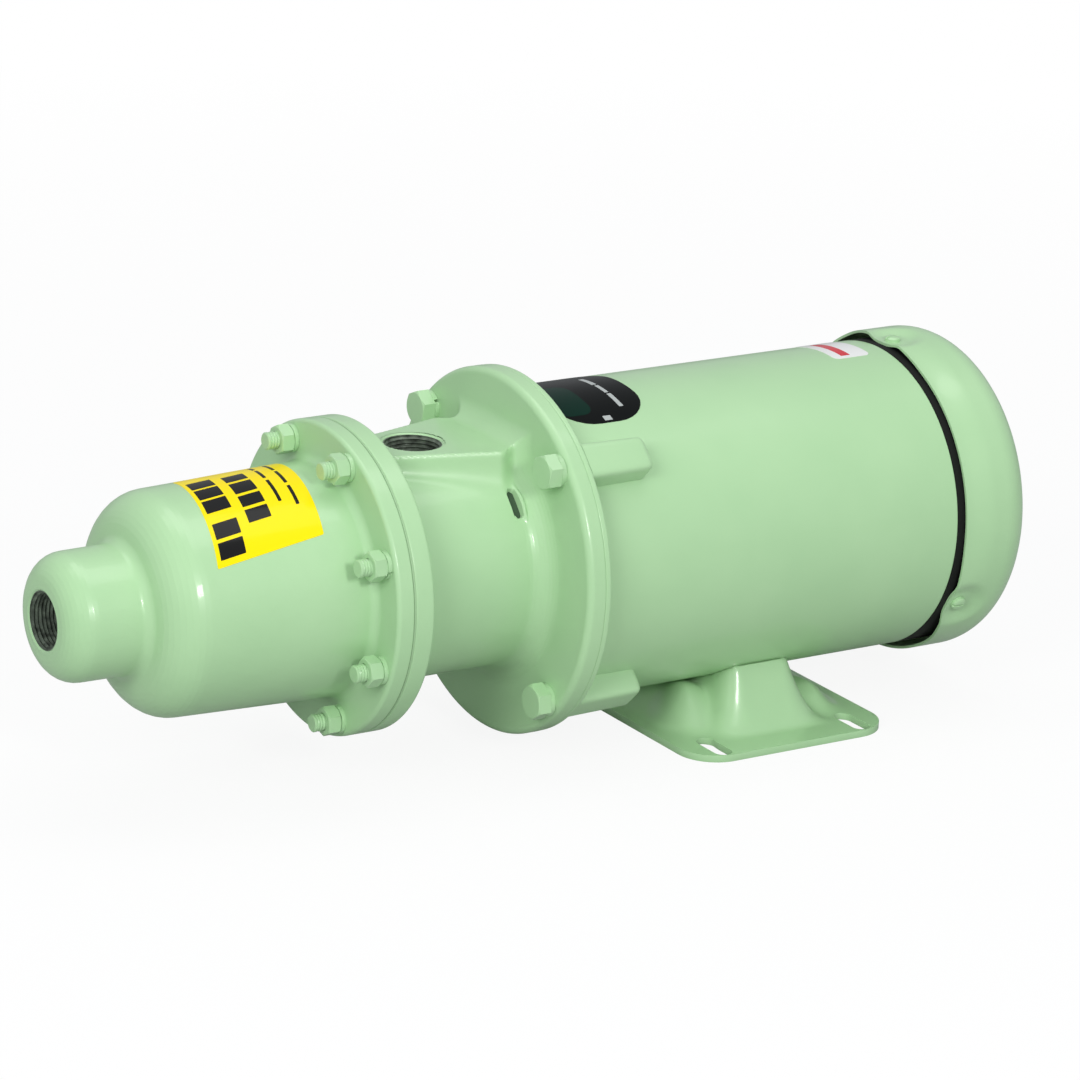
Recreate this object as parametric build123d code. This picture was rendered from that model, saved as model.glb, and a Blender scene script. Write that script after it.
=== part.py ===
"""Close-coupled progressive cavity pump on a C-face motor with a stamped base.

Frame: origin on the floor, midway between the two front base slots and under the shaft.
+X runs from the discharge nose to the fan cover, +Z is up. Millimetres.
Everything is modelled about the shaft line as the X axis and lifted to SHAFT_HEIGHT at the end.
Angles are counted about +X, from +Y towards +Z.
"""
from build123d import *
import math
import os

# ---- Driving dimensions: mounting and layout along the shaft ----
SHAFT_HEIGHT = 88.9
FOOT_FROM_FACE = 76.9
BODY_LENGTH = 88.5
CASING_LENGTH = 141.5
CORE_TO_SHELL_END = 32.0
GASKET = 0.8
RUNNING_FIT = 0.05
CLEAR = 0.4

# ---- Pumping element ----
ROTOR_PITCH = 22.0
ECCENTRICITY = 3.5
CAVITY_RADIUS = 10.0
ELEMENT_CLEARANCE = 0.3
STATOR_TURNS = 1.5
STATOR_START = 44.0
STATOR_TUBE_RADIUS = 36.0
STATOR_TUBE_WALL = 3.0
ROTOR_OVERHANG = 3.0

# ---- Stator casing ----
NOSE_RADIUS_FRONT = 28.1
NOSE_RADIUS_REAR = 28.5
NOSE_LENGTH = 36.5
NOSE_ROUND = 13.0
NOSE_ROOT_ROUND = 5.0
SHOULDER_LEAN = 3.0
SHOULDER_ROUND = 18.0
BARREL_RADIUS_FRONT = 49.0
BARREL_RADIUS_REAR = 52.0
CASING_FLANGE = 8.1
JOINT_FLANGE_RADIUS = 69.85
JOINT_ROOT_ROUND = 3.0
JOINT_RIM_ROUND = 1.0
PORT_RADIUS = 12.35
DISCHARGE_DEPTH = 18.0
PASSAGE_RADIUS = 24.0
SEAT_LENGTH = 10.0
CASING_RELIEF = 2.0
CHAMBER_RADIUS = 42.0
SUPPORT_RING_LENGTH = 7.0
SUPPORT_RING_RADIUS = 44.0
SNAP_RING_THICKNESS = 1.6
SNAP_RING_DEPTH = 1.5
SNAP_RING_WIDTH = 4.0
SNAP_RING_ARC = 350.0

# ---- Flange studs at the casing joint ----
STUD_COUNT = 8
STUD_CIRCLE = 62.0
STUD_RADIUS = 3.95
STUD_HOLE_CLEARANCE = 0.4
STUD_PROJECTION = 17.0
STUD_NUT_FLATS = 12.7
STUD_NUT_HEIGHT = 7.0
STUD_WASHER_RADIUS = 6.4
STUD_WASHER_THICKNESS = 2.0

# ---- Pump body (suction housing and motor adapter in one casting) ----
BODY_RADIUS = 50.0
BODY_FLANGE = 9.8
BODY_FRONT_ROUND = 3.0
BODY_REAR_ROUND = 10.0
FACE_FLANGE = 8.5
FACE_RADIUS = 82.55
FACE_RIM_ROUND = 3.0
SUCTION_FROM_FACE = 50.25
PORT_PAD_HEIGHT = 56.0
PAD_REAR = 22.0
PAD_HALF_FRONT = 12.5
PAD_HALF_REAR = 28.5
PAD_CORNER_ROUND = 8.0
PAD_TOP_ROUND = 2.0
PAD_GUSSET_HALF = 15.0
PAD_GUSSET_ROUND = 12.0
PAD_SIDE_BLEND = 2.0
BULKHEAD_FROM_FACE = 34.0
BULKHEAD = 9.0
BULKHEAD_LIP = 2.0
ADAPTER_RADIUS = 40.0
SCREW_WINDOW_FROM_FACE = 19.0
SCREW_WINDOW_ANGLE = 136.5
SCREW_WINDOW_LENGTH = 14.0
SCREW_WINDOW_WIDTH = 4.0
WINDOW_LIP_RADIUS = 54.5
WINDOW_LIP_WIDTH = 4.0

# ---- Shaft seal ----
SEAL_CUP_RADIUS = 18.0
SEAL_CUP_WALL = 1.5
SEAL_SEAT_BORE = 13.3
SEAL_SEAT_LENGTH = 6.5
SEAL_HEAD_RADIUS = 16.2
SEAL_HEAD_LENGTH = 7.0
SEAL_GAP = 0.2
SEAL_WIRE = 0.7
SEAL_SPRING_TURNS = 3.0
SEAL_RETAINER = 2.0

# ---- Pump shaft, connecting rod and pin joints ----
JOURNAL_RADIUS = 12.7
DRIVE_HEAD_RADIUS = 14.0
HEAD_RADIUS = 13.5
SOCKET_RADIUS = 9.5
DRIVE_PIN_FROM_FACE = 65.0
ROTOR_PIN_FROM_HELIX = 9.0
PIN_RADIUS = 3.0
PIN_END_GAP = 0.3
SOCKET_BEYOND_PIN = 9.0
HEAD_OVERLAP = 1.0
ROD_END_RADIUS = 8.0
ROD_END_LENGTH = 14.0
ROD_RADIUS = 5.5
ROD_PIN_CLEARANCE = 0.4
ROD_BUSH_WALL = 1.2
SLEEVE_WALL = 2.5
SLEEVE_LENGTH = 12.0
COLLAR_RADIUS = 15.5
COLLAR_LENGTH = 2.5
SHAFT_END_GAP = 1.5
SET_SCREW_RADIUS = 3.0
SET_SCREW_SOCKET = 1.5
KEY_SIZE = 4.76
KEY_LENGTH = 18.0
KEY_FROM_FACE = 38.0
SLINGER_RADIUS = 19.0
SLINGER_THICKNESS = 2.0
SLINGER_FROM_FACE = 10.0

# ---- Motor: C-face bell, shell, core, rear bell, fan and cover ----
SHAFT_RADIUS = 7.94
SHAFT_PROJECTION = 52.3
PILOT_RADIUS = 57.15
PILOT_LENGTH = 4.0
FACE_BOLT_EDGE = 7.95
FACE_BOLT_RADIUS = 4.76
FACE_BOLT_FLATS = 14.3
FACE_BOLT_HEAD = 6.3
FACE_BOLT_ROUND = 0.6
LOCK_WASHER = 2.2
LOCK_WASHER_RADIUS = 7.6
FACE_BOLT_LENGTH = 31.0
BELL_RING = 3.0
EAR_WIDTH = 17.5
EAR_BELOW_RIM = 0.55
EAR_LENGTH = 33.0
EAR_ROUND = 3.0
SHELL_RADIUS = 71.1
SHELL_WALL = 2.5
BELL_WEB = 6.0
BELL_SPIGOT = 14.0
BELL_SPIGOT_WALL = 4.6
BELL_HUB_WALL = 5.0
BELL_RIBS = 4
RIB_THICKNESS = 4.0
REAR_RIM = 18.0
REAR_WEB_FROM_SHELL = 4.0
BEARING_OUTER = 20.0
BEARING_INNER = 8.5
BEARING_WIDTH = 12.0
BEARING_BALLS = 8
BALL_RADIUS = 3.37
BALL_CIRCLE = 14.25
RACE_CLEARANCE = 0.06
RACE_SHOULDER = 2.0
CAGE_HALF = 1.1
FRONT_BEARING_FROM_FACE = 16.0
REAR_BEARING_FROM_SHELL = 15.0
WAVE_WASHER = 1.2
CORE_LENGTH = 95.0
CORE_FROM_FACE = 72.0
CORE_BORE = 35.0
AIR_GAP = 0.4
CORE_SLOTS = 24
SLOT_WIDTH = 4.6
SLOT_INNER = 38.5
SLOT_OUTER = 54.0
END_TURN = 17.0
END_TURN_ROUND = 7.0
SHAFT_CORE_RADIUS = 11.0
CAGE_RING_LENGTH = 8.0
CAGE_RING_INNER = 22.0
CAGE_FINS = 8
CAGE_FIN_LENGTH = 5.0
TIE_BOLT_CIRCLE = 61.5
TIE_BOLT_RADIUS = 2.5
TIE_BOLT_HEAD = 4.2
TIE_BOLT_HEAD_HEIGHT = 3.5
FAN_SEAT_RADIUS = 7.0
FAN_FROM_SHELL = 19.0
FAN_RADIUS = 58.0
FAN_LENGTH = 14.0
FAN_BLADES = 9
FAN_BLADE_THICKNESS = 2.0
FAN_HUB_RADIUS = 14.0
FAN_PLATE = 2.0
COVER_RADIUS = 75.1
COVER_WALL = 1.2
COVER_FROM_SHELL = 3.5
COVER_LENGTH = 38.5
COVER_ROUND = 16.0
COVER_DIMPLES = 3
COVER_FIRST_DIMPLE = 90.0
DIMPLE_RADIUS = 7.0
COVER_SCREW_FROM_EDGE = 8.0
COVER_SCREW_RADIUS = 2.0
COVER_SCREW_HEAD = 3.6
COVER_SCREW_HEAD_HEIGHT = 2.2
COVER_SCREW_LENGTH = 7.0
GRILLE_ROWS = ((20.0, 34.0, 10), (39.0, 54.0, 20))
GRILLE_SLOT = 5.0

# ---- Conduit box on the far side of the motor ----
BOX_FROM_FACE = 45.0
BOX_LENGTH = 66.0
BOX_HEIGHT = 54.0
BOX_DEPTH = 104.0
BOX_WALL = 3.0
BOX_CORNER_ROUND = 8.0
BOX_GASKET = 1.2
BOX_COVER = 2.0
BOX_SCREW_RADIUS = 2.0
BOX_SCREW_HEAD = 3.8
BOX_SCREW_HEAD_HEIGHT = 1.8
BOX_SCREW_INSET = 6.5
CONDUIT_HOLE_RADIUS = 11.1
LEAD_HOLE_RADIUS = 9.0
LEAD_HOLE_FROM_BOX = 14.0

# ---- Stamped base ----
BASE_LENGTH = 107.0
BASE_WIDTH = 148.0
BASE_SHEET = 3.2
BASE_CORNER_ROUND = 12.0
FOOT_PITCH_X = 76.2
FOOT_PITCH_Y = 123.8
FOOT_SLOT_LENGTH = 22.0
FOOT_SLOT_WIDTH = 8.7
SADDLE_TOP_LENGTH = 27.0
SADDLE_TOP_WIDTH = 74.0
SADDLE_TOP_HEIGHT = 29.0
SADDLE_FOOT_LENGTH = 68.0
SADDLE_FOOT_WIDTH = 119.0
SADDLE_CORNER_ROUND = 9.0
LOBE_LENGTH = 99.0
LOBE_WIDTH = 88.0
LOBE_TOP_LENGTH = 88.0
LOBE_TOP_WIDTH = 70.0
LOBE_HEIGHT = 13.0
LOBE_CORNER_ROUND = 14.0
LOBE_TOP_ROUND = 8.0
BASE_ROOT_ROUND = 5.0

# ---- Stations along X ----
face_x = -FOOT_FROM_FACE
joint_x = face_x - BODY_LENGTH
nose_x = joint_x - CASING_LENGTH
casing_end_x = joint_x - GASKET / 2
body_start_x = joint_x + GASKET / 2
casing_flange_x = casing_end_x - CASING_FLANGE
body_flange_x = body_start_x + BODY_FLANGE
face_flange_x = face_x - FACE_FLANGE
stator_x = nose_x + STATOR_START
stator_length = STATOR_TURNS * 2 * ROTOR_PITCH
stator_end_x = stator_x + stator_length
bulkhead_x = face_x - BULKHEAD_FROM_FACE
drive_pin_x = face_x - DRIVE_PIN_FROM_FACE
shaft_tip_x = face_x - SHAFT_PROJECTION
shell_x = face_x + BELL_RING
core_x = face_x + CORE_FROM_FACE
core_end_x = core_x + CORE_LENGTH
shell_end_x = core_end_x + CORE_TO_SHELL_END
front_bearing_x = face_x + FRONT_BEARING_FROM_FACE
rear_bearing_x = shell_end_x - REAR_BEARING_FROM_SHELL
fan_x = shell_end_x + FAN_FROM_SHELL
cover_x = shell_end_x + COVER_FROM_SHELL
cover_end_x = cover_x + COVER_LENGTH
rear_rim_x = shell_end_x + REAR_RIM
floor_z = -SHAFT_HEIGHT
base_x = FOOT_PITCH_X / 2

# ---- Fits worked out from the sizes above ----
journal_x = shaft_tip_x - SHAFT_END_GAP
rotor_radius = CAVITY_RADIUS - ELEMENT_CLEARANCE
rotor_x = stator_x - ROTOR_OVERHANG
rotor_end_x = stator_end_x + ROTOR_OVERHANG
rotor_pin_x = rotor_end_x + ROTOR_PIN_FROM_HELIX
rod_tilt = math.degrees(math.atan2(ECCENTRICITY, drive_pin_x - rotor_pin_x))
shell_bore = SHELL_RADIUS - SHELL_WALL
bolt_circle = FACE_RADIUS - FACE_BOLT_EDGE
ear_radius = FACE_RADIUS - EAR_BELOW_RIM
seal_seat_x = bulkhead_x + BULKHEAD - BULKHEAD_LIP - SEAL_SEAT_LENGTH
seal_head_end_x = seal_seat_x - SEAL_GAP
seal_head_x = seal_head_end_x - SEAL_HEAD_LENGTH
seal_retainer_x = journal_x
seal_spring_x = seal_retainer_x + SEAL_RETAINER
slinger_x = face_x - SLINGER_FROM_FACE
support_ring_x = stator_end_x - SUPPORT_RING_LENGTH
snap_ring_x = stator_end_x
rotor_sleeve_x = rotor_pin_x - SLEEVE_LENGTH / 2
drive_sleeve_x = drive_pin_x - SLEEVE_LENGTH / 2
window_x = face_x - SCREW_WINDOW_FROM_FACE
suction_x = face_x - SUCTION_FROM_FACE
ECCENTRIC = Pos(0, ECCENTRICITY, 0)
AXIAL = Plane(origin=(0, 0, 0), x_dir=(1, 0, 0), z_dir=(0, -1, 0))


# ---- Helpers ----
def across(x):
    """Plane across the shaft line at x, with local x along +Y and local y along +Z."""
    return Plane(origin=(x, 0, 0), x_dir=(0, 1, 0), z_dir=(1, 0, 0))


def turned(points, rounds=()):
    """Solid of revolution about X from (x, radius) points, with chosen corners rounded."""
    face = make_face(Polyline(*points, close=True))
    for corner, radius in rounds:
        vertex = face.vertices().sort_by_distance((corner[0], corner[1], 0))[0]
        face = fillet(vertex, radius)
    return revolve(AXIAL * face, axis=Axis.X)


def ring(start, end, outer, inner=0.0):
    """Plain ring or disc about the shaft line."""
    body = extrude(across(start) * Circle(outer), end - start)
    if inner > 0:
        body -= extrude(across(start) * Circle(inner), end - start)
    return body


def rod_across(x, radius, start, end, angle):
    """Round bar whose axis is a radius of the shaft line, at a station and an angle."""
    plane = Plane(origin=(x, start, 0), x_dir=(1, 0, 0), z_dir=(0, 1, 0))
    return Rot(X=angle) * extrude(plane * Circle(radius), end - start)


def hexagon(x, flats, height, circle, bore=0.0):
    """Hexagonal head or nut at the +Y side of a bolt circle."""
    section = RegularPolygon(flats / 2, 6, major_radius=False)
    if bore > 0:
        section -= Circle(bore)
    return extrude(across(x) * Pos(circle, 0) * section, height)


def bar(x, end, radius, circle, bore=0.0):
    """Round bar or washer parallel to the shaft, at the +Y side of a circle."""
    section = Circle(radius)
    if bore > 0:
        section -= Circle(bore)
    return extrude(across(x) * Pos(circle, 0) * section, end - x)


def around(shape, count, first):
    """Copies of a shape, evenly spaced about the shaft line."""
    return [Rot(X=first + 360 * k / count) * shape for k in range(count)]


def twisted(section, x, length, degrees):
    """Section in the plane across X, drawn along X while it turns about the shaft line."""
    face = (across(x) * section).face()
    return Solid.extrude_linear_with_rotation(face, (x, 0, 0), Vector(length, 0, 0), degrees)


def rounded_block(length, width, bottom, top, corner, top_length=0.0, top_width=0.0):
    """Block centred on the base that may taper, with rounded upright corners."""
    low = Plane.XY.offset(bottom) * Pos(base_x, 0) * RectangleRounded(length, width, corner)
    if top_length <= 0:
        return extrude(low, top - bottom)
    high_corner = min(corner, top_length / 2 - 1, top_width / 2 - 1)
    high = Plane.XY.offset(top) * Pos(base_x, 0) * RectangleRounded(
        top_length, top_width, high_corner)
    return loft([low.face(), high.face()])


# ---- Stator side ----
def stator_casing():
    barrel_x = nose_x + NOSE_LENGTH + SHOULDER_LEAN
    relief = STATOR_TUBE_RADIUS + CASING_RELIEF
    seat_end_x = stator_x + SEAT_LENGTH
    outside = turned(
        [(nose_x, 0), (nose_x, NOSE_RADIUS_FRONT), (nose_x + NOSE_LENGTH, NOSE_RADIUS_REAR),
         (barrel_x, BARREL_RADIUS_FRONT), (casing_flange_x, BARREL_RADIUS_REAR),
         (casing_flange_x, JOINT_FLANGE_RADIUS), (casing_end_x, JOINT_FLANGE_RADIUS),
         (casing_end_x, 0)],
        [((nose_x, NOSE_RADIUS_FRONT), NOSE_ROUND),
         ((nose_x + NOSE_LENGTH, NOSE_RADIUS_REAR), NOSE_ROOT_ROUND),
         ((barrel_x, BARREL_RADIUS_FRONT), SHOULDER_ROUND),
         ((casing_flange_x, BARREL_RADIUS_REAR), JOINT_ROOT_ROUND),
         ((casing_flange_x, JOINT_FLANGE_RADIUS), JOINT_RIM_ROUND),
         ((casing_end_x, JOINT_FLANGE_RADIUS), JOINT_RIM_ROUND)])
    groove_end_x = snap_ring_x + SNAP_RING_THICKNESS
    groove = SUPPORT_RING_RADIUS + SNAP_RING_DEPTH
    inside = turned(
        [(nose_x, 0), (nose_x, PORT_RADIUS), (nose_x + DISCHARGE_DEPTH, PORT_RADIUS),
         (stator_x, PASSAGE_RADIUS), (stator_x, STATOR_TUBE_RADIUS),
         (seat_end_x, STATOR_TUBE_RADIUS), (seat_end_x, relief), (support_ring_x, relief),
         (support_ring_x, SUPPORT_RING_RADIUS), (snap_ring_x, SUPPORT_RING_RADIUS),
         (snap_ring_x, groove), (groove_end_x, groove),
         (groove_end_x, SUPPORT_RING_RADIUS), (casing_end_x, SUPPORT_RING_RADIUS),
         (casing_end_x, 0)])
    holes = around(bar(casing_flange_x, casing_end_x, STUD_RADIUS + STUD_HOLE_CLEARANCE,
                       STUD_CIRCLE), STUD_COUNT, 180 / STUD_COUNT)
    return outside - inside - holes


def stator_tube():
    return ring(stator_x, stator_end_x, STATOR_TUBE_RADIUS, STATOR_TUBE_RADIUS - STATOR_TUBE_WALL)


def stator_liner():
    blank = ring(stator_x, stator_end_x, STATOR_TUBE_RADIUS - STATOR_TUBE_WALL)
    slot = SlotCenterToCenter(4 * ECCENTRICITY, 2 * CAVITY_RADIUS)
    return blank - twisted(slot, stator_x, stator_length, 360 * STATOR_TURNS)


def stator_support_ring():
    return ring(support_ring_x, snap_ring_x, SUPPORT_RING_RADIUS, STATOR_TUBE_RADIUS)


def stator_snap_ring():
    outer = SUPPORT_RING_RADIUS + SNAP_RING_DEPTH
    section = Pos(snap_ring_x + SNAP_RING_THICKNESS / 2, outer - SNAP_RING_WIDTH / 2) * Rectangle(
        SNAP_RING_THICKNESS, SNAP_RING_WIDTH)
    return revolve(AXIAL * section, axis=Axis.X, revolution_arc=SNAP_RING_ARC)


def casing_gasket():
    holes = around(bar(casing_end_x, body_start_x, STUD_RADIUS + STUD_HOLE_CLEARANCE,
                       STUD_CIRCLE), STUD_COUNT, 180 / STUD_COUNT)
    return ring(casing_end_x, body_start_x, JOINT_FLANGE_RADIUS - 2 * JOINT_RIM_ROUND,
                SUPPORT_RING_RADIUS) - holes


def flange_studs():
    stud = bar(casing_flange_x - STUD_PROJECTION, body_flange_x - BODY_FRONT_ROUND / 2,
               STUD_RADIUS, STUD_CIRCLE)
    return around(stud, STUD_COUNT, 180 / STUD_COUNT)


def flange_washers():
    washer = bar(casing_flange_x - STUD_WASHER_THICKNESS, casing_flange_x, STUD_WASHER_RADIUS,
                 STUD_CIRCLE, STUD_RADIUS)
    return around(washer, STUD_COUNT, 180 / STUD_COUNT)


def flange_nuts():
    start = casing_flange_x - STUD_WASHER_THICKNESS - STUD_NUT_HEIGHT
    nut = hexagon(start, STUD_NUT_FLATS, STUD_NUT_HEIGHT, STUD_CIRCLE, STUD_RADIUS)
    return around(nut, STUD_COUNT, 180 / STUD_COUNT)


# ---- Pump body ----
def port_pad():
    """Flat pad round the suction port, wider towards the motor, and its rise to the flange."""
    front = body_flange_x - BODY_FLANGE / 2
    rear = face_x - PAD_REAR
    plan = make_face(Polyline((front, -PAD_HALF_FRONT), (rear, -PAD_HALF_REAR),
                              (rear, PAD_HALF_REAR), (front, PAD_HALF_FRONT), close=True))
    plan = fillet(plan.vertices().sort_by(Axis.X)[2:], PAD_CORNER_ROUND)
    bottom = CHAMBER_RADIUS / 2
    pad = extrude(Plane.XY.offset(bottom) * plan, PORT_PAD_HEIGHT - bottom)
    rise_x = face_flange_x - PAD_GUSSET_ROUND
    crest = PORT_PAD_HEIGHT + PAD_GUSSET_ROUND
    side = make_face(Polyline((rear - PAD_CORNER_ROUND, bottom), (rear - PAD_CORNER_ROUND,
                              PORT_PAD_HEIGHT), (rise_x, PORT_PAD_HEIGHT), (rise_x, crest),
                              (face_flange_x, crest), (face_flange_x, bottom), close=True))
    side -= Pos(rise_x, crest) * Circle(PAD_GUSSET_ROUND)
    gusset = extrude(Plane.XZ * side, PAD_GUSSET_HALF, both=True)
    return fillet(pad.faces().sort_by(Axis.Z)[-1].edges(), PAD_TOP_ROUND) + gusset


def meets_body(point):
    """Whether a point lies where the side of the pad runs into the round body."""
    on_surface = abs(math.hypot(point.Y, point.Z) - BODY_RADIUS) < RUNNING_FIT
    clear_of_roots = body_flange_x + BODY_FRONT_ROUND < point.X < face_flange_x - BODY_FRONT_ROUND
    return on_surface and clear_of_roots and point.Z > 0 and abs(point.Y) > PAD_HALF_FRONT / 2


def pump_body():
    outside = turned(
        [(body_start_x, 0), (body_start_x, JOINT_FLANGE_RADIUS),
         (body_flange_x, JOINT_FLANGE_RADIUS), (body_flange_x, BODY_RADIUS),
         (face_flange_x, BODY_RADIUS), (face_flange_x, FACE_RADIUS), (face_x, FACE_RADIUS),
         (face_x, 0)],
        [((body_start_x, JOINT_FLANGE_RADIUS), JOINT_RIM_ROUND),
         ((body_flange_x, JOINT_FLANGE_RADIUS), JOINT_RIM_ROUND),
         ((body_flange_x, BODY_RADIUS), BODY_FRONT_ROUND),
         ((face_flange_x, BODY_RADIUS), BODY_REAR_ROUND),
         ((face_flange_x, FACE_RADIUS), FACE_RIM_ROUND)])
    lip_x = window_x - SCREW_WINDOW_WIDTH / 2 - WINDOW_LIP_WIDTH
    lip = ring(lip_x, lip_x + WINDOW_LIP_WIDTH, WINDOW_LIP_RADIUS, BODY_RADIUS - 1)
    sector = Rot(X=SCREW_WINDOW_ANGLE) * Pos(lip_x + WINDOW_LIP_WIDTH / 2, BODY_RADIUS, 0) * Box(
        WINDOW_LIP_WIDTH, BODY_RADIUS / 2, SCREW_WINDOW_LENGTH + WINDOW_LIP_WIDTH)
    outside = outside + port_pad()
    sides = [edge for edge in outside.edges() if meets_body(edge @ (1 / 2))]
    outside = fillet(sides, PAD_SIDE_BLEND) + (lip & sector)
    pilot_x = face_x - PILOT_LENGTH - CLEAR
    seat_end_x = bulkhead_x + BULKHEAD - BULKHEAD_LIP
    inside = turned(
        [(body_start_x, 0), (body_start_x, CHAMBER_RADIUS), (bulkhead_x, CHAMBER_RADIUS),
         (bulkhead_x, SEAL_CUP_RADIUS), (seat_end_x, SEAL_CUP_RADIUS),
         (seat_end_x, SEAL_CUP_RADIUS - SEAL_CUP_WALL - 1),
         (bulkhead_x + BULKHEAD, SEAL_CUP_RADIUS - SEAL_CUP_WALL - 1),
         (bulkhead_x + BULKHEAD, ADAPTER_RADIUS), (pilot_x, ADAPTER_RADIUS),
         (pilot_x, PILOT_RADIUS + RUNNING_FIT), (face_x, PILOT_RADIUS + RUNNING_FIT),
         (face_x, 0)],
        [((bulkhead_x, CHAMBER_RADIUS), BODY_FRONT_ROUND)])
    port = Pos(suction_x, 0, 0) * extrude(Circle(PORT_RADIUS), PORT_PAD_HEIGHT)
    window = Rot(X=SCREW_WINDOW_ANGLE) * Pos(window_x, BODY_RADIUS, 0) * Box(
        SCREW_WINDOW_WIDTH, BODY_RADIUS, SCREW_WINDOW_LENGTH)
    stud_holes = around(bar(body_start_x, body_flange_x - BODY_FRONT_ROUND / 2, STUD_RADIUS,
                            STUD_CIRCLE), STUD_COUNT, 180 / STUD_COUNT)
    bolt_holes = around(bar(face_flange_x, face_x, FACE_BOLT_RADIUS + CLEAR, bolt_circle), 4, 45)
    return outside - inside - port - window - stud_holes - bolt_holes


def motor_bolts():
    head_x = face_flange_x - LOCK_WASHER - FACE_BOLT_HEAD
    head = hexagon(head_x, FACE_BOLT_FLATS, FACE_BOLT_HEAD, bolt_circle)
    head = fillet(head.faces().sort_by(Axis.X)[0].edges(), FACE_BOLT_ROUND)
    shank = bar(head_x, head_x + FACE_BOLT_HEAD + FACE_BOLT_LENGTH, FACE_BOLT_RADIUS, bolt_circle)
    return around(head + shank, 4, 45)


def motor_bolt_washers():
    washer = bar(face_flange_x - LOCK_WASHER, face_flange_x, LOCK_WASHER_RADIUS, bolt_circle,
                 FACE_BOLT_RADIUS)
    return around(washer, 4, 45)


# ---- Shaft seal ----
def seal_seat_cup():
    seat_end_x = seal_seat_x + SEAL_SEAT_LENGTH
    return ring(seal_seat_x, seat_end_x, SEAL_CUP_RADIUS, SEAL_CUP_RADIUS - SEAL_CUP_WALL)


def seal_seat():
    return ring(seal_seat_x, seal_seat_x + SEAL_SEAT_LENGTH, SEAL_CUP_RADIUS - SEAL_CUP_WALL,
                SEAL_SEAT_BORE)


def seal_head():
    step_x = seal_head_x + SEAL_HEAD_LENGTH / 2
    return turned([(seal_head_x, JOURNAL_RADIUS), (seal_head_x, SEAL_HEAD_RADIUS),
                   (step_x, SEAL_HEAD_RADIUS), (step_x, SEAL_HEAD_RADIUS - 1),
                   (seal_head_end_x, SEAL_HEAD_RADIUS - 1), (seal_head_end_x, JOURNAL_RADIUS)])


def seal_spring():
    coil_radius = (JOURNAL_RADIUS + SEAL_HEAD_RADIUS) / 2
    height = seal_head_x - seal_spring_x - 2 * SEAL_WIRE
    path = Helix(height / SEAL_SPRING_TURNS, height, coil_radius)
    start = path @ 0
    section = Plane(origin=start, z_dir=path % 0) * Circle(SEAL_WIRE)
    coil = sweep(section, path, is_frenet=True)
    return Pos(seal_spring_x + SEAL_WIRE, 0, 0) * Rot(Y=90) * coil


def seal_retainer():
    return ring(seal_retainer_x, seal_spring_x, SEAL_HEAD_RADIUS, JOURNAL_RADIUS)


# ---- Drive line ----
def key_block():
    return Pos(face_x - KEY_FROM_FACE, 0, SHAFT_RADIUS) * Box(KEY_LENGTH, KEY_SIZE, KEY_SIZE)


def set_screw_angles():
    return SCREW_WINDOW_ANGLE, SCREW_WINDOW_ANGLE + 90


def pump_shaft():
    head_x = drive_pin_x - SOCKET_BEYOND_PIN
    end_x = face_x - PILOT_LENGTH
    outside = turned([(head_x, 0), (head_x, DRIVE_HEAD_RADIUS), (journal_x, DRIVE_HEAD_RADIUS),
                      (journal_x, JOURNAL_RADIUS), (end_x, JOURNAL_RADIUS), (end_x, 0)])
    socket = ring(head_x, drive_pin_x + SOCKET_BEYOND_PIN, SOCKET_RADIUS)
    bore = ring(journal_x, end_x, SHAFT_RADIUS)
    pin_hole = rod_across(drive_pin_x, PIN_RADIUS, -BODY_RADIUS, BODY_RADIUS, 90)
    body = outside - socket - bore - pin_hole - key_block()
    for angle in set_screw_angles():
        body -= rod_across(window_x, SET_SCREW_RADIUS, 0, BODY_RADIUS, angle)
    return body


def shaft_set_screws():
    screws = []
    for angle in set_screw_angles():
        screw = rod_across(window_x, SET_SCREW_RADIUS, SHAFT_RADIUS, JOURNAL_RADIUS, angle)
        socket_start = (SHAFT_RADIUS + JOURNAL_RADIUS) / 2
        plane = Plane(origin=(window_x, socket_start, 0), x_dir=(1, 0, 0), z_dir=(0, 1, 0))
        socket = extrude(plane * RegularPolygon(SET_SCREW_SOCKET, 6, major_radius=False),
                         JOURNAL_RADIUS)
        screws.append(screw - Rot(X=angle) * socket)
    return screws


def slinger():
    return ring(slinger_x, slinger_x + SLINGER_THICKNESS, SLINGER_RADIUS, JOURNAL_RADIUS)


def drive_pin():
    half = DRIVE_HEAD_RADIUS - PIN_END_GAP - PIN_RADIUS ** 2 / (2 * DRIVE_HEAD_RADIUS)
    return rod_across(drive_pin_x, PIN_RADIUS, -half, half, 90)


def drive_pin_sleeve():
    return ring(drive_sleeve_x, drive_sleeve_x + SLEEVE_LENGTH, DRIVE_HEAD_RADIUS + SLEEVE_WALL,
                DRIVE_HEAD_RADIUS)


def rod_frame():
    """Frame at the rotor pin whose X axis points along the rod to the drive pin."""
    return Pos(rotor_pin_x, ECCENTRICITY, 0) * Rot(Z=-rod_tilt)


def rod_span():
    return math.hypot(drive_pin_x - rotor_pin_x, ECCENTRICITY)


def rod_bush(at):
    """Pin bush that opens towards both ends, so that the rod can tilt on the pin."""
    waist = PIN_RADIUS + ROD_PIN_CLEARANCE
    flare = ROD_END_RADIUS * math.tan(math.radians(rod_tilt))
    reach = math.sqrt(ROD_END_RADIUS ** 2 - (waist + flare + ROD_BUSH_WALL) ** 2)
    profile = make_face(Polyline(
        (waist, 0), (waist + flare, reach), (waist + flare + ROD_BUSH_WALL, reach),
        (waist + flare + ROD_BUSH_WALL, -reach), (waist + flare, -reach), close=True))
    return Pos(at, 0, 0) * revolve(Plane.XZ * profile, axis=Axis.Z)


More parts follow.
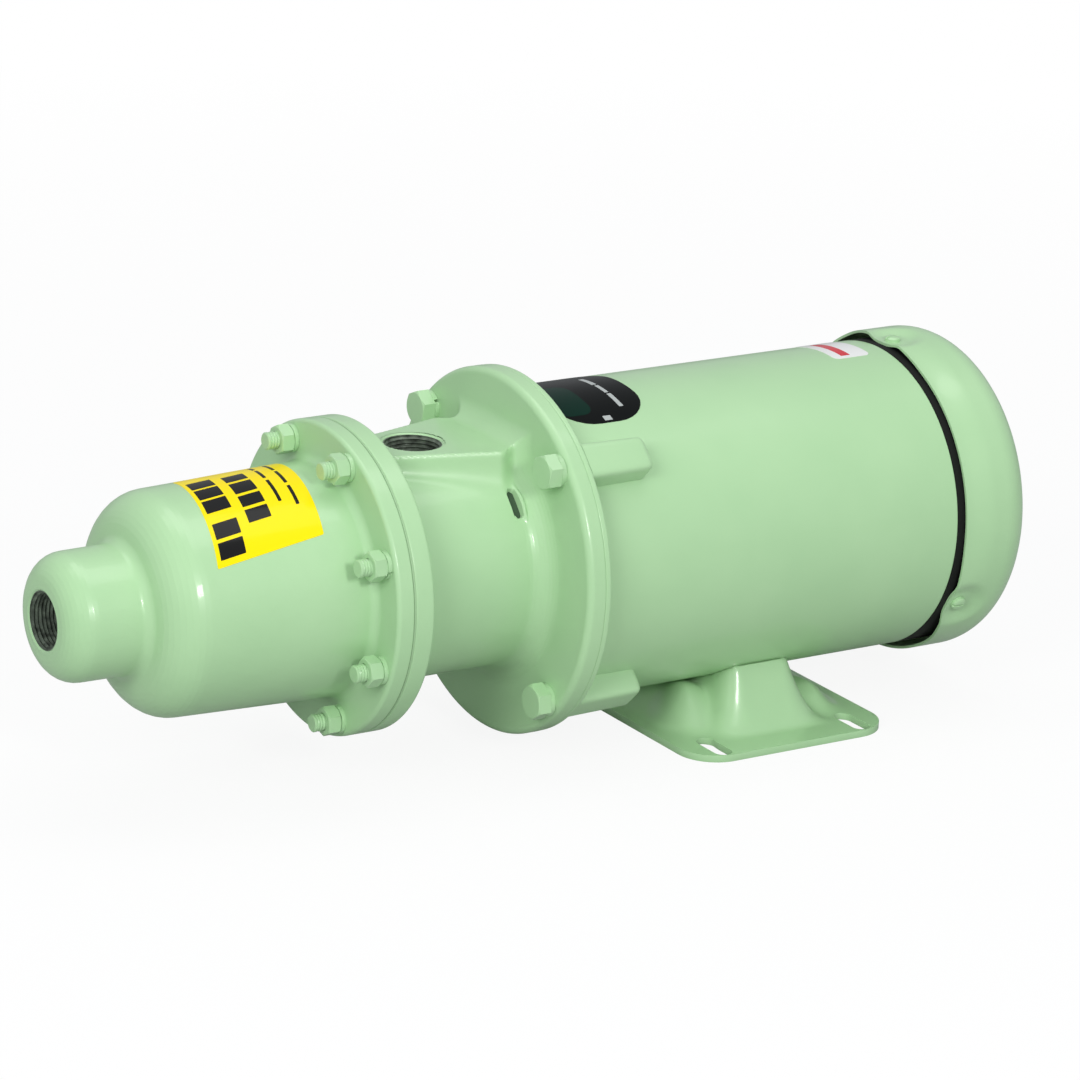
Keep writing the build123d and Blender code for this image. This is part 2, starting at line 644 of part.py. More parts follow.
def connecting_rod():
    waist = PIN_RADIUS + ROD_PIN_CLEARANCE
    flare = ROD_END_RADIUS * math.tan(math.radians(rod_tilt))
    half = ROD_END_LENGTH / 2
    span = rod_span()
    rod = ring(0, span, ROD_RADIUS)
    for at in (0, span):
        rod += ring(at - half, at + half, ROD_END_RADIUS)
    for at in (0, span):
        rod -= Pos(at, 0, 0) * Cylinder(waist + flare + ROD_BUSH_WALL, 2 * ROD_END_RADIUS)
    return rod_frame() * rod


def rod_bushes():
    return [rod_frame() * rod_bush(0), rod_frame() * rod_bush(rod_span())]


def rotor():
    """Single helix with a round section, its head bored for the rod and cross drilled."""
    section = Pos(ECCENTRICITY, 0) * Circle(rotor_radius)
    length = rotor_end_x - rotor_x
    start_angle = 360 * (rotor_x - stator_x) / ROTOR_PITCH
    helix = twisted(section, rotor_x, length, 360 * length / ROTOR_PITCH)
    helix = Rot(X=start_angle) * helix
    head_x = rotor_end_x - HEAD_OVERLAP
    head_end_x = rotor_pin_x + SOCKET_BEYOND_PIN
    head = ring(head_x, head_end_x, HEAD_RADIUS)
    collar = ring(rotor_sleeve_x - CLEAR - COLLAR_LENGTH, rotor_sleeve_x - CLEAR, COLLAR_RADIUS)
    socket = ring(rotor_pin_x - SOCKET_BEYOND_PIN, head_end_x, SOCKET_RADIUS)
    pin_hole = rod_across(rotor_pin_x, PIN_RADIUS, -BODY_RADIUS, BODY_RADIUS, 90)
    return ECCENTRIC * (helix + head + collar - socket - pin_hole)


def rotor_pin():
    half = HEAD_RADIUS - PIN_END_GAP - PIN_RADIUS ** 2 / (2 * HEAD_RADIUS)
    return ECCENTRIC * rod_across(rotor_pin_x, PIN_RADIUS, -half, half, 90)


def rotor_pin_sleeve():
    inner = HEAD_RADIUS + RUNNING_FIT
    return ECCENTRIC * ring(rotor_sleeve_x, rotor_sleeve_x + SLEEVE_LENGTH,
                            HEAD_RADIUS + SLEEVE_WALL, inner)


def motor_shaft():
    front_end_x = front_bearing_x + BEARING_WIDTH
    fan_end_x = fan_x + FAN_LENGTH
    body = turned([(shaft_tip_x, 0), (shaft_tip_x, SHAFT_RADIUS), (face_x, SHAFT_RADIUS),
                   (face_x, BEARING_INNER), (front_end_x, BEARING_INNER),
                   (front_end_x, SHAFT_CORE_RADIUS), (rear_bearing_x, SHAFT_CORE_RADIUS),
                   (rear_bearing_x, BEARING_INNER),
                   (rear_bearing_x + BEARING_WIDTH, BEARING_INNER),
                   (rear_bearing_x + BEARING_WIDTH, FAN_SEAT_RADIUS),
                   (fan_end_x, FAN_SEAT_RADIUS), (fan_end_x, 0)])
    return body - key_block()


# ---- Motor ----
def bearing_race(x, outer, inner):
    """One race of a deep-groove ball bearing: a ring with the ball track cut in it."""
    middle_x = x + BEARING_WIDTH / 2
    track = AXIAL * Pos(middle_x, BALL_CIRCLE) * Circle(BALL_RADIUS + RACE_CLEARANCE)
    return ring(x, x + BEARING_WIDTH, outer, inner) - revolve(track, axis=Axis.X)


def bearing_outer(x):
    return bearing_race(x, BEARING_OUTER, BALL_CIRCLE + RACE_SHOULDER)


def bearing_inner(x):
    return bearing_race(x, BALL_CIRCLE - RACE_SHOULDER, BEARING_INNER)


def bearing_balls(x):
    ball = Pos(x + BEARING_WIDTH / 2, BALL_CIRCLE, 0) * Sphere(BALL_RADIUS)
    return around(ball, BEARING_BALLS, 0)


def bearing_cage(x):
    middle_x = x + BEARING_WIDTH / 2
    hoop = ring(middle_x - BALL_RADIUS - CAGE_HALF, middle_x + BALL_RADIUS + CAGE_HALF,
                BALL_CIRCLE + CAGE_HALF, BALL_CIRCLE - CAGE_HALF)
    pockets = around(rod_across(middle_x, BALL_RADIUS + RACE_CLEARANCE, 0, BEARING_OUTER, 0),
                     BEARING_BALLS, 0)
    return hoop - pockets


def hub_ribs(start, end, inner, outer):
    rib = Pos((start + end) / 2, (inner + outer) / 2, 0) * Box(
        end - start, outer - inner, RIB_THICKNESS)
    return around(rib, BELL_RIBS, 0)


def motor_front_bell():
    hub = BEARING_OUTER + BELL_HUB_WALL
    hub_end_x = front_bearing_x + BEARING_WIDTH
    web_end_x = face_x + BELL_WEB
    spigot_end_x = face_x + BELL_RING + BELL_SPIGOT
    spigot_bore = shell_bore - BELL_SPIGOT_WALL
    bell = turned(
        [(face_x - PILOT_LENGTH, SHAFT_RADIUS + 1), (face_x - PILOT_LENGTH, PILOT_RADIUS),
         (face_x, PILOT_RADIUS), (face_x, FACE_RADIUS), (shell_x, FACE_RADIUS),
         (shell_x, shell_bore), (spigot_end_x, shell_bore), (spigot_end_x, spigot_bore),
         (web_end_x, spigot_bore), (web_end_x, hub), (hub_end_x, hub),
         (hub_end_x, BEARING_OUTER), (front_bearing_x, BEARING_OUTER),
         (front_bearing_x, BEARING_INNER + CLEAR + 1),
         (face_x, BEARING_INNER + CLEAR + 1), (face_x, SHAFT_RADIUS + 1)])
    for rib in hub_ribs(web_end_x, spigot_end_x, hub - 1, spigot_bore + 1):
        bell += rib
    ear_inner = shell_bore - BELL_SPIGOT_WALL
    ear = Pos(shell_x, 0, 0) * Box(EAR_LENGTH, ear_radius - ear_inner, EAR_WIDTH,
                                   align=(Align.MIN, Align.MIN, Align.CENTER))
    ear = Pos(0, ear_inner, 0) * ear
    ear = ear & ring(shell_x, shell_x + EAR_LENGTH, ear_radius)
    outer_edges = ear.edges().filter_by(Axis.X).sort_by(Axis.Y)[-2:]
    ear = fillet(outer_edges, EAR_ROUND)
    ear -= bar(shell_x, face_x + FACE_BOLT_LENGTH - FACE_FLANGE, FACE_BOLT_RADIUS, bolt_circle)
    for copy in around(ear, 4, 45):
        bell += copy
    for hole in around(bar(face_x, shell_x, FACE_BOLT_RADIUS, bolt_circle), 4, 45):
        bell -= hole
    for hole in around(tie_bolt_shank(), 4, 0):
        bell -= hole
    return bell


def motor_shell():
    shell = ring(shell_x, shell_end_x, SHELL_RADIUS, shell_bore)
    notch = Pos(shell_x, SHELL_RADIUS, 0) * Box(EAR_LENGTH, 4 * SHELL_WALL, EAR_WIDTH,
                                                align=(Align.MIN, Align.CENTER, Align.CENTER))
    for copy in around(notch, 4, 45):
        shell -= copy
    return shell - lead_hole()


def lead_hole():
    """Hole through the shell, inside the conduit box, for the motor leads."""
    x = face_x + BOX_FROM_FACE + LEAD_HOLE_FROM_BOX
    return rod_across(x, LEAD_HOLE_RADIUS, shell_bore / 2, BOX_DEPTH, 0)


def tie_bolt_shank():
    return bar(shell_x - BELL_RING / 2, shell_end_x + REAR_WEB_FROM_SHELL, TIE_BOLT_RADIUS,
               TIE_BOLT_CIRCLE)


def motor_tie_bolts():
    head_x = shell_end_x + REAR_WEB_FROM_SHELL
    head = bar(head_x, head_x + TIE_BOLT_HEAD_HEIGHT, TIE_BOLT_HEAD, TIE_BOLT_CIRCLE)
    return around(tie_bolt_shank() + head, 4, 0)


def slot_bar(extra=0.0):
    return Pos(core_x - extra, 0, 0) * Box(
        CORE_LENGTH + 2 * extra, SLOT_OUTER - SLOT_INNER, SLOT_WIDTH,
        align=(Align.MIN, Align.MIN, Align.CENTER))


def motor_core():
    core = ring(core_x, core_end_x, shell_bore, CORE_BORE)
    slot = Pos(0, SLOT_INNER, 0) * slot_bar()
    notch = bar(core_x, core_end_x, TIE_BOLT_RADIUS + CLEAR, TIE_BOLT_CIRCLE)
    return core - around(slot, CORE_SLOTS, 0) - around(notch, 4, 0)


def motor_windings():
    """Slot bars joined by the end turns at both ends of the core."""
    turn = turned(
        [(core_x - END_TURN, SLOT_INNER), (core_x - END_TURN, SLOT_OUTER),
         (core_x, SLOT_OUTER), (core_x, SLOT_INNER)],
        [((core_x - END_TURN, SLOT_INNER), END_TURN_ROUND),
         ((core_x - END_TURN, SLOT_OUTER), END_TURN_ROUND)])
    coil = turn + mirror(turn, Plane.YZ.offset(core_x + CORE_LENGTH / 2))
    for copy in around(Pos(0, SLOT_INNER, 0) * slot_bar(), CORE_SLOTS, 0):
        coil += copy
    return coil


def motor_rotor_core():
    return ring(core_x, core_end_x, CORE_BORE - AIR_GAP, SHAFT_CORE_RADIUS)


def rotor_cage():
    """End rings of the squirrel cage with their stirring fins."""
    outer = CORE_BORE - AIR_GAP
    pieces = []
    for start, fin_x in ((core_x - CAGE_RING_LENGTH, core_x - CAGE_RING_LENGTH - CAGE_FIN_LENGTH),
                         (core_end_x, core_end_x + CAGE_RING_LENGTH)):
        hoop = ring(start, start + CAGE_RING_LENGTH, outer, CAGE_RING_INNER)
        middle = (outer + CAGE_RING_INNER) / 2
        fin = Pos(fin_x + CAGE_FIN_LENGTH / 2, middle, 0) * Box(
            CAGE_FIN_LENGTH, (outer - CAGE_RING_INNER) / 2, RIB_THICKNESS / 2)
        for copy in around(fin, CAGE_FINS, 0):
            hoop += copy
        pieces.append(hoop)
    return pieces


def motor_rear_bell():
    hub = BEARING_OUTER + BELL_HUB_WALL
    hub_x = rear_bearing_x - WAVE_WASHER
    web_end_x = shell_end_x + REAR_WEB_FROM_SHELL
    spigot_x = shell_end_x - BELL_SPIGOT
    spigot_bore = shell_bore - BELL_SPIGOT_WALL
    bearing_end_x = rear_bearing_x + BEARING_WIDTH + WAVE_WASHER
    web_x = shell_end_x - BELL_WEB + REAR_WEB_FROM_SHELL
    bell = turned(
        [(hub_x, BEARING_OUTER), (hub_x, hub), (web_x, hub), (web_x, spigot_bore),
         (spigot_x, spigot_bore), (spigot_x, shell_bore), (shell_end_x, shell_bore),
         (shell_end_x, SHELL_RADIUS), (rear_rim_x, SHELL_RADIUS),
         (rear_rim_x, SHELL_RADIUS - BELL_SPIGOT_WALL),
         (web_end_x, SHELL_RADIUS - BELL_SPIGOT_WALL), (web_end_x, FAN_SEAT_RADIUS + CLEAR + 1),
         (bearing_end_x, FAN_SEAT_RADIUS + CLEAR + 1), (bearing_end_x, BEARING_OUTER)])
    for rib in hub_ribs(spigot_x, web_x + 1, hub - 1, spigot_bore + 1):
        bell += rib
    for hole in around(tie_bolt_shank(), 4, 0):
        bell -= hole
    for screw in cover_screw_shanks():
        bell -= screw
    return bell


def wave_washer():
    x = rear_bearing_x + BEARING_WIDTH
    return ring(x, x + WAVE_WASHER, BEARING_OUTER, BEARING_OUTER - RACE_SHOULDER)


def cooling_fan():
    plate = ring(fan_x, fan_x + FAN_PLATE, FAN_RADIUS, FAN_SEAT_RADIUS)
    hub = ring(fan_x, fan_x + FAN_LENGTH, FAN_HUB_RADIUS, FAN_SEAT_RADIUS)
    blade = Pos(fan_x, FAN_HUB_RADIUS - 1, 0) * Box(
        FAN_LENGTH, FAN_RADIUS - FAN_HUB_RADIUS, FAN_BLADE_THICKNESS,
        align=(Align.MIN, Align.MIN, Align.CENTER))
    fan = plate + hub
    for copy in around(blade, FAN_BLADES, 90 / FAN_BLADES):
        fan += copy
    return fan


def cover_screw_shanks():
    x = cover_x + COVER_SCREW_FROM_EDGE
    start = SHELL_RADIUS + COVER_WALL - COVER_SCREW_LENGTH
    screw = rod_across(x, COVER_SCREW_RADIUS, start, SHELL_RADIUS + COVER_WALL, 0)
    return around(screw, COVER_DIMPLES, COVER_FIRST_DIMPLE)


def fan_cover_screws():
    x = cover_x + COVER_SCREW_FROM_EDGE
    start = SHELL_RADIUS + COVER_WALL
    head = rod_across(x, COVER_SCREW_HEAD, start, start + COVER_SCREW_HEAD_HEIGHT, 0)
    heads = around(head, COVER_DIMPLES, COVER_FIRST_DIMPLE)
    return [head + shank for head, shank in zip(heads, cover_screw_shanks())]


def fan_cover():
    """Pressed steel cap with three dimples that seat on the rear bell, and an inlet grille."""
    outside = turned([(cover_x, 0), (cover_x, COVER_RADIUS), (cover_end_x, COVER_RADIUS),
                      (cover_end_x, 0)], [((cover_end_x, COVER_RADIUS), COVER_ROUND)])
    inner = COVER_RADIUS - COVER_WALL
    back_x = cover_end_x - COVER_WALL
    inside = turned([(cover_x, 0), (cover_x, inner), (back_x, inner), (back_x, 0)],
                    [((back_x, inner), COVER_ROUND - COVER_WALL)])
    x = cover_x + COVER_SCREW_FROM_EDGE
    press = COVER_RADIUS - SHELL_RADIUS + DIMPLE_RADIUS
    seat = SHELL_RADIUS + COVER_WALL
    cup = Cone(DIMPLE_RADIUS, press, COVER_RADIUS - SHELL_RADIUS,
               align=(Align.CENTER, Align.CENTER, Align.MIN))
    hollow = Pos(x, 0, 0) * Rot(X=-90) * Pos(0, 0, seat) * cup
    boss = Pos(x, 0, 0) * Rot(X=-90) * Pos(0, 0, SHELL_RADIUS) * cup
    boss = boss & outside
    cover = outside - inside
    for copy in around(boss, COVER_DIMPLES, COVER_FIRST_DIMPLE):
        cover += copy
    for copy in around(hollow, COVER_DIMPLES, COVER_FIRST_DIMPLE):
        cover -= copy
    hole = rod_across(x, COVER_SCREW_RADIUS, SHELL_RADIUS - 1, COVER_RADIUS, 0)
    for copy in around(hole, COVER_DIMPLES, COVER_FIRST_DIMPLE):
        cover -= copy
    for start, end, count in GRILLE_ROWS:
        slot = Pos(start, 0) * SlotOverall(end - start, GRILLE_SLOT, align=(Align.MIN, Align.CENTER))
        cutter = extrude(across(back_x - 1) * slot, COVER_WALL + 2)
        cover -= around(cutter, count, 0)
    return cover


# ---- Conduit box ----
def box_frame():
    return Pos(face_x + BOX_FROM_FACE + BOX_LENGTH / 2, 0, 0) * Rot(X=-90)


def box_slab(start, end, inset=0.0):
    section = RectangleRounded(BOX_LENGTH - 2 * inset, BOX_HEIGHT - 2 * inset,
                               BOX_CORNER_ROUND - inset)
    return box_frame() * Pos(0, 0, start) * extrude(section, end - start)


def box_screw_places():
    across_x = BOX_LENGTH / 2 - BOX_SCREW_INSET
    across_z = BOX_HEIGHT / 2 - BOX_SCREW_INSET
    return [(-across_x, -across_z), (across_x, -across_z), (across_x, across_z),
            (-across_x, across_z)]


def box_pins(radius, start, end):
    return [box_frame() * Pos(px, pz, start) * extrude(Circle(radius), end - start)
            for px, pz in box_screw_places()]


def conduit_box():
    rim = BOX_DEPTH - BOX_COVER - BOX_GASKET
    box = box_slab(SHELL_RADIUS / 2, rim) - box_slab(0, rim, BOX_WALL)
    for post in box_pins(BOX_SCREW_INSET - 1, SHELL_RADIUS / 2, rim):
        box += post
    box &= box_slab(0, rim)
    box -= ring(shell_x, shell_end_x, SHELL_RADIUS)
    for hole in box_pins(BOX_SCREW_RADIUS, rim - BOX_SCREW_INSET, rim):
        box -= hole
    hole_y = (SHELL_RADIUS + rim) / 2
    hole_x = face_x + BOX_FROM_FACE + BOX_LENGTH / 2
    conduit_hole = Pos(hole_x, hole_y, -BOX_HEIGHT) * extrude(Circle(CONDUIT_HOLE_RADIUS),
                                                              BOX_HEIGHT / 2 + 2 * BOX_WALL)
    return box - conduit_hole


def conduit_gasket():
    start = BOX_DEPTH - BOX_COVER - BOX_GASKET
    end = BOX_DEPTH - BOX_COVER
    gasket = box_slab(start, end)
    opening = box_slab(start, end, BOX_WALL + 1)
    for post in box_pins(BOX_SCREW_INSET - 1, start, end):
        opening -= post
    gasket -= opening
    for hole in box_pins(BOX_SCREW_RADIUS, start, end):
        gasket -= hole
    return gasket


def conduit_cover():
    start = BOX_DEPTH - BOX_COVER
    cover = box_slab(start, BOX_DEPTH)
    cover = fillet(cover.faces().sort_by(Axis.Y)[-1].edges(), BOX_COVER / 2)
    for hole in box_pins(BOX_SCREW_RADIUS, start, BOX_DEPTH):
        cover -= hole
    return cover


def conduit_screws():
    shank_start = BOX_DEPTH - BOX_COVER - BOX_GASKET - BOX_SCREW_INSET
    shanks = box_pins(BOX_SCREW_RADIUS, shank_start, BOX_DEPTH)
    heads = box_pins(BOX_SCREW_HEAD, BOX_DEPTH, BOX_DEPTH + BOX_SCREW_HEAD_HEIGHT)
    return [shank + head for shank, head in zip(shanks, heads)]


# ---- Base ----
def base_form(inset):
    """Outer form of the stamping, or its inner form one sheet thickness inside."""
    lobe_corner = LOBE_CORNER_ROUND - inset
    plate_top = floor_z + BASE_SHEET - inset
    lift = plate_top - BASE_SHEET
    saddle = rounded_block(
        SADDLE_FOOT_LENGTH - 2 * inset, SADDLE_FOOT_WIDTH - 2 * inset, lift,
        floor_z + SADDLE_TOP_HEIGHT - inset, SADDLE_CORNER_ROUND - inset,
        SADDLE_TOP_LENGTH - 2 * inset, SADDLE_TOP_WIDTH - 2 * inset)
    lobe = rounded_block(
        LOBE_LENGTH - 2 * inset, LOBE_WIDTH - 2 * inset, lift,
        floor_z + LOBE_HEIGHT - inset, lobe_corner, LOBE_TOP_LENGTH - 2 * inset,
        LOBE_TOP_WIDTH - 2 * inset)
    lobe = fillet(lobe.faces().sort_by(Axis.Z)[-1].edges(), LOBE_TOP_ROUND - inset)
    shell = ring(shell_x, shell_end_x, SHELL_RADIUS + inset)
    return saddle + lobe - shell


def motor_base():
    plate = rounded_block(BASE_LENGTH, BASE_WIDTH, floor_z, floor_z + BASE_SHEET,
                          BASE_CORNER_ROUND)
    outside = plate + base_form(0.0)
    rim_z = floor_z + BASE_SHEET
    rim = outside.faces().filter_by_position(Axis.Z, rim_z, rim_z)[0]
    root = [edge for wire in rim.inner_wires() for edge in wire.edges()]
    base = fillet(root, BASE_ROOT_ROUND) - base_form(BASE_SHEET)
    base &= rounded_block(BASE_LENGTH, BASE_WIDTH, floor_z, 0, BASE_CORNER_ROUND)
    slot = Plane.XY.offset(floor_z) * SlotOverall(FOOT_SLOT_LENGTH, FOOT_SLOT_WIDTH, rotation=90)
    for place in GridLocations(FOOT_PITCH_X, FOOT_PITCH_Y, 2, 2):
        base -= Pos(base_x, 0) * place * extrude(slot, BASE_SHEET)
    return base


NODES = {
    "stator_casing": stator_casing,
    "casing_gasket": casing_gasket,
    "stator_tube": stator_tube,
    "stator_liner": stator_liner,
    "stator_support_ring": stator_support_ring,
    "stator_snap_ring": stator_snap_ring,
    "flange_studs": flange_studs,
    "flange_nuts": flange_nuts,
    "flange_washers": flange_washers,
    "pump_body": pump_body,
    "motor_bolts": motor_bolts,
    "motor_bolt_washers": motor_bolt_washers,
    "seal_seat": seal_seat,
    "seal_seat_cup": seal_seat_cup,
    "seal_head": seal_head,
    "seal_spring": seal_spring,
    "seal_retainer": seal_retainer,
    "pump_shaft": pump_shaft,
    "shaft_key": key_block,
    "shaft_set_screws": shaft_set_screws,
    "slinger": slinger,
    "drive_pin": drive_pin,
    "drive_pin_sleeve": drive_pin_sleeve,
    "connecting_rod": connecting_rod,
    "rod_bushes": rod_bushes,
    "rotor": rotor,
    "rotor_pin": rotor_pin,
    "rotor_pin_sleeve": rotor_pin_sleeve,
    "motor_shaft": motor_shaft,
    "motor_front_bell": motor_front_bell,
    "motor_shell": motor_shell,
    "motor_tie_bolts": motor_tie_bolts,
    "motor_core": motor_core,
    "motor_windings": motor_windings,
    "motor_rotor_core": motor_rotor_core,
    "rotor_cage": rotor_cage,
    "motor_rear_bell": motor_rear_bell,
    "wave_washer": wave_washer,
    "front_bearing_outer": lambda: bearing_outer(front_bearing_x),
    "front_bearing_inner": lambda: bearing_inner(front_bearing_x),
    "front_bearing_balls": lambda: bearing_balls(front_bearing_x),
    "front_bearing_cage": lambda: bearing_cage(front_bearing_x),
    "rear_bearing_outer": lambda: bearing_outer(rear_bearing_x),
    "rear_bearing_inner": lambda: bearing_inner(rear_bearing_x),
    "rear_bearing_balls": lambda: bearing_balls(rear_bearing_x),
    "rear_bearing_cage": lambda: bearing_cage(rear_bearing_x),
    "cooling_fan": cooling_fan,
    "fan_cover": fan_cover,
    "fan_cover_screws": fan_cover_screws,
    "conduit_box": conduit_box,
    "conduit_gasket": conduit_gasket,
    "conduit_cover": conduit_cover,
    "conduit_screws": conduit_screws,
    "motor_base": motor_base,
}


def solids_of(shape):
    """All solids of a shape or of a list of shapes."""
    shapes = shape if isinstance(shape, list) else [shape]
    return [solid for item in shapes for solid in item.solids()]


os.makedirs("parts", exist_ok=True)
for name, make in NODES.items():
    part = Compound(children=[Pos(0, 0, SHAFT_HEIGHT) * solid for solid in solids_of(make())])
    export_step(part, f"parts/{name}.step")
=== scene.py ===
import math
import bpy
import numpy as np
from mathutils import Matrix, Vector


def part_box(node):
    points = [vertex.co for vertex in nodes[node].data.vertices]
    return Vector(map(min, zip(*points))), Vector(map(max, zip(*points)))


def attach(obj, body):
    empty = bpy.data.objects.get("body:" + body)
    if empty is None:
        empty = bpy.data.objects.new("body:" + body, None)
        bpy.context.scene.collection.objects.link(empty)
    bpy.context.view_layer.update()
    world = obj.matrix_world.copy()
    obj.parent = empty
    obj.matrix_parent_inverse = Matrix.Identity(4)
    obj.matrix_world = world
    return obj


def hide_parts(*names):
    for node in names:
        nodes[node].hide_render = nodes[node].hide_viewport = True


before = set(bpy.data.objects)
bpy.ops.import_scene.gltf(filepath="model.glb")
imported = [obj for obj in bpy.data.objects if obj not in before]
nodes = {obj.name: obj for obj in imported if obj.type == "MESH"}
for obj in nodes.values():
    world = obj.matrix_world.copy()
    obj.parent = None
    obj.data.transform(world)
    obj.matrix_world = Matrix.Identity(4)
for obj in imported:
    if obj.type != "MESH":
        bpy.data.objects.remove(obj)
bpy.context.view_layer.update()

# ---- Camera ----
# A long lens a little above the pump, turned towards the discharge end and rolled by a few
# degrees, as a camera held by hand is.
CAMERA_AZIMUTH = math.radians(-33.43)
CAMERA_ELEVATION = math.radians(18.18)
CAMERA_ROLL = math.radians(2.75)
CAMERA_DISTANCE = 2.246
CAMERA_LENS = 167.5
CAMERA_SENSOR = 36.0
CAMERA_AIM = np.array([-0.0581, 0.0, 0.0903])
PLUMB = np.array([0.0, 0.0, 1.0])

scene = bpy.context.scene


def unit(vector):
    return vector / np.linalg.norm(vector)


def standing(right, up, back, place):
    """Matrix of an object at a place, with its own axes pointing right, up and back."""
    matrix = np.eye(4)
    matrix[:3] = np.stack([right, up, back, place], 1)
    return Matrix(matrix.tolist())


back = np.array([math.sin(CAMERA_AZIMUTH) * math.cos(CAMERA_ELEVATION),
                 -math.cos(CAMERA_AZIMUTH) * math.cos(CAMERA_ELEVATION),
                 math.sin(CAMERA_ELEVATION)])
level_right = unit(np.cross(-back, PLUMB))
level_up = np.cross(level_right, -back)
camera_data = bpy.data.cameras.new("camera")
camera_data.lens = CAMERA_LENS
camera_data.sensor_width = CAMERA_SENSOR
camera = bpy.data.objects.new("camera", camera_data)
camera.matrix_world = standing(
    math.cos(CAMERA_ROLL) * level_right + math.sin(CAMERA_ROLL) * level_up,
    math.cos(CAMERA_ROLL) * level_up - math.sin(CAMERA_ROLL) * level_right,
    back, CAMERA_AIM + back * CAMERA_DISTANCE)
scene.collection.objects.link(camera)
scene.camera = camera

# ---- Floor, backdrop and lamps ----
# A white studio sweep whose floor keeps a faint shadow near the pump. Wide lamps above and
# at the discharge end light the enamel softly, and a small one in front gives highlights.
FLOOR_HALF = 8.0
FLOOR_WHITENESS = 0.90
FADE_FROM = 0.35
FADE_TO = 1.3
WHITE = (1.0, 1.0, 1.0, 1.0)
SKY_FILL = (0.93, 0.96, 1.0, 1.0)
SKY_STRENGTH = 0.50
FLOOR_SEEN = (0.86, 0.86, 0.86, 1.0)
FLOOR_REFLECTED = (0.46, 0.48, 0.46, 1.0)
LAMP_AIM = (0.0, 0.0, 0.08)


def shader_node(tree, kind, operation=None, **values):
    """New shader node, with a value for each input that is named (From_Min is "From Min")."""
    made = tree.nodes.new("ShaderNode" + kind)
    if operation is not None:
        made.operation = operation
    for name, value in values.items():
        made.inputs[name.replace("_", " ")].default_value = value
    return made


def mixed(tree, share, first, second):
    """Mix of two shaders: only the first where the share is 0, only the second where 1."""
    mix = shader_node(tree, "MixShader")
    for place, source in enumerate((share, first, second)):
        tree.links.new(source, mix.inputs[place])
    return mix.outputs["Shader"]


scene.view_settings.view_transform = "Standard"
world = bpy.data.worlds.new("studio")
world.use_nodes = True
scene.world = world
sky = world.node_tree
sky_fill = sky.nodes["Background"]
sky_fill.inputs["Color"].default_value = SKY_FILL
sky_fill.inputs["Strength"].default_value = SKY_STRENGTH
sky_white = shader_node(sky, "Background", Color=WHITE, Strength=1.0)
sky_path = shader_node(sky, "LightPath")
sky.links.new(mixed(sky, sky_path.outputs["Is Camera Ray"], sky_fill.outputs["Background"],
                    sky_white.outputs["Background"]), sky.nodes["World Output"].inputs["Surface"])

floor_material = bpy.data.materials.new("studio_floor")
floor_material.use_nodes = True
tree = floor_material.node_tree
tree.nodes.clear()
to_camera = shader_node(tree, "LightPath").outputs["Is Camera Ray"]
reach = shader_node(tree, "VectorMath", "LENGTH")
fade = shader_node(tree, "MapRange", From_Min=FADE_FROM, From_Max=FADE_TO,
                   To_Min=FLOOR_WHITENESS, To_Max=1.0)
whiteness = shader_node(tree, "Math", "MULTIPLY")
tree.links.new(shader_node(tree, "TexCoord").outputs["Object"], reach.inputs[0])
tree.links.new(reach.outputs["Value"], fade.inputs["Value"])
tree.links.new(to_camera, whiteness.inputs[0])
tree.links.new(fade.outputs["Result"], whiteness.inputs[1])
diffuse = mixed(tree, to_camera, shader_node(tree, "BsdfDiffuse", Color=FLOOR_REFLECTED).outputs[0],
                shader_node(tree, "BsdfDiffuse", Color=FLOOR_SEEN).outputs[0])
glow = shader_node(tree, "Emission", Color=WHITE, Strength=1.0)
tree.links.new(mixed(tree, whiteness.outputs[0], diffuse, glow.outputs["Emission"]),
               shader_node(tree, "OutputMaterial").inputs["Surface"])
floor_mesh = bpy.data.meshes.new("studio_floor")
floor_mesh.from_pydata([(FLOOR_HALF * a, FLOOR_HALF * b, 0)
                        for a, b in ((-1, -1), (1, -1), (1, 1), (-1, 1))], [], [(0, 1, 2, 3)])
floor_mesh.materials.append(floor_material)
floor = bpy.data.objects.new("studio_floor", floor_mesh)
scene.collection.objects.link(floor)


def soft_box(name, place, aim, width, height, watts):
    """Rectangular area lamp at a place, facing a point."""
    lamp_data = bpy.data.lights.new(name, "AREA")
    lamp_data.shape = "RECTANGLE"
    lamp_data.size = width
    lamp_data.size_y = height
    lamp_data.energy = watts
    lamp = bpy.data.objects.new(name, lamp_data)
    toward = unit(np.array(place, float) - np.array(aim, float))
    side = unit(np.cross(PLUMB, toward))
    lamp.matrix_world = standing(side, np.cross(toward, side), toward, place)
    scene.collection.objects.link(lamp)
    return lamp


key = soft_box("key_box", (-1.7, -1.0, 1.1), (-0.05, 0, 0.08), 0.9, 0.9, 18)
key.visible_glossy = False
soft_box("top_box", (0.1, 0.1, 1.7), LAMP_AIM, 1.6, 0.9, 8)
soft_box("near_box", (-0.25, -1.85, 1.0), LAMP_AIM, 0.36, 0.36, 14)

# ---- Green enamel ----
# One coat of glossy light-green machinery enamel over cast iron, steel and fasteners alike.
# On castings the sand texture shows through as a soft unevenness.
ENAMEL = (0.425, 0.660, 0.372, 1.0)
ENAMEL_DEEP = (0.385, 0.620, 0.340, 1.0)
COAT_ROUGHNESS = 0.10
DRIFT_SCALE = 22.0
GLOSS_SCALE = 60.0
SAND_SCALE = 170.0
PEEL_SCALE = 900.0
PEEL_HEIGHT = 0.00002


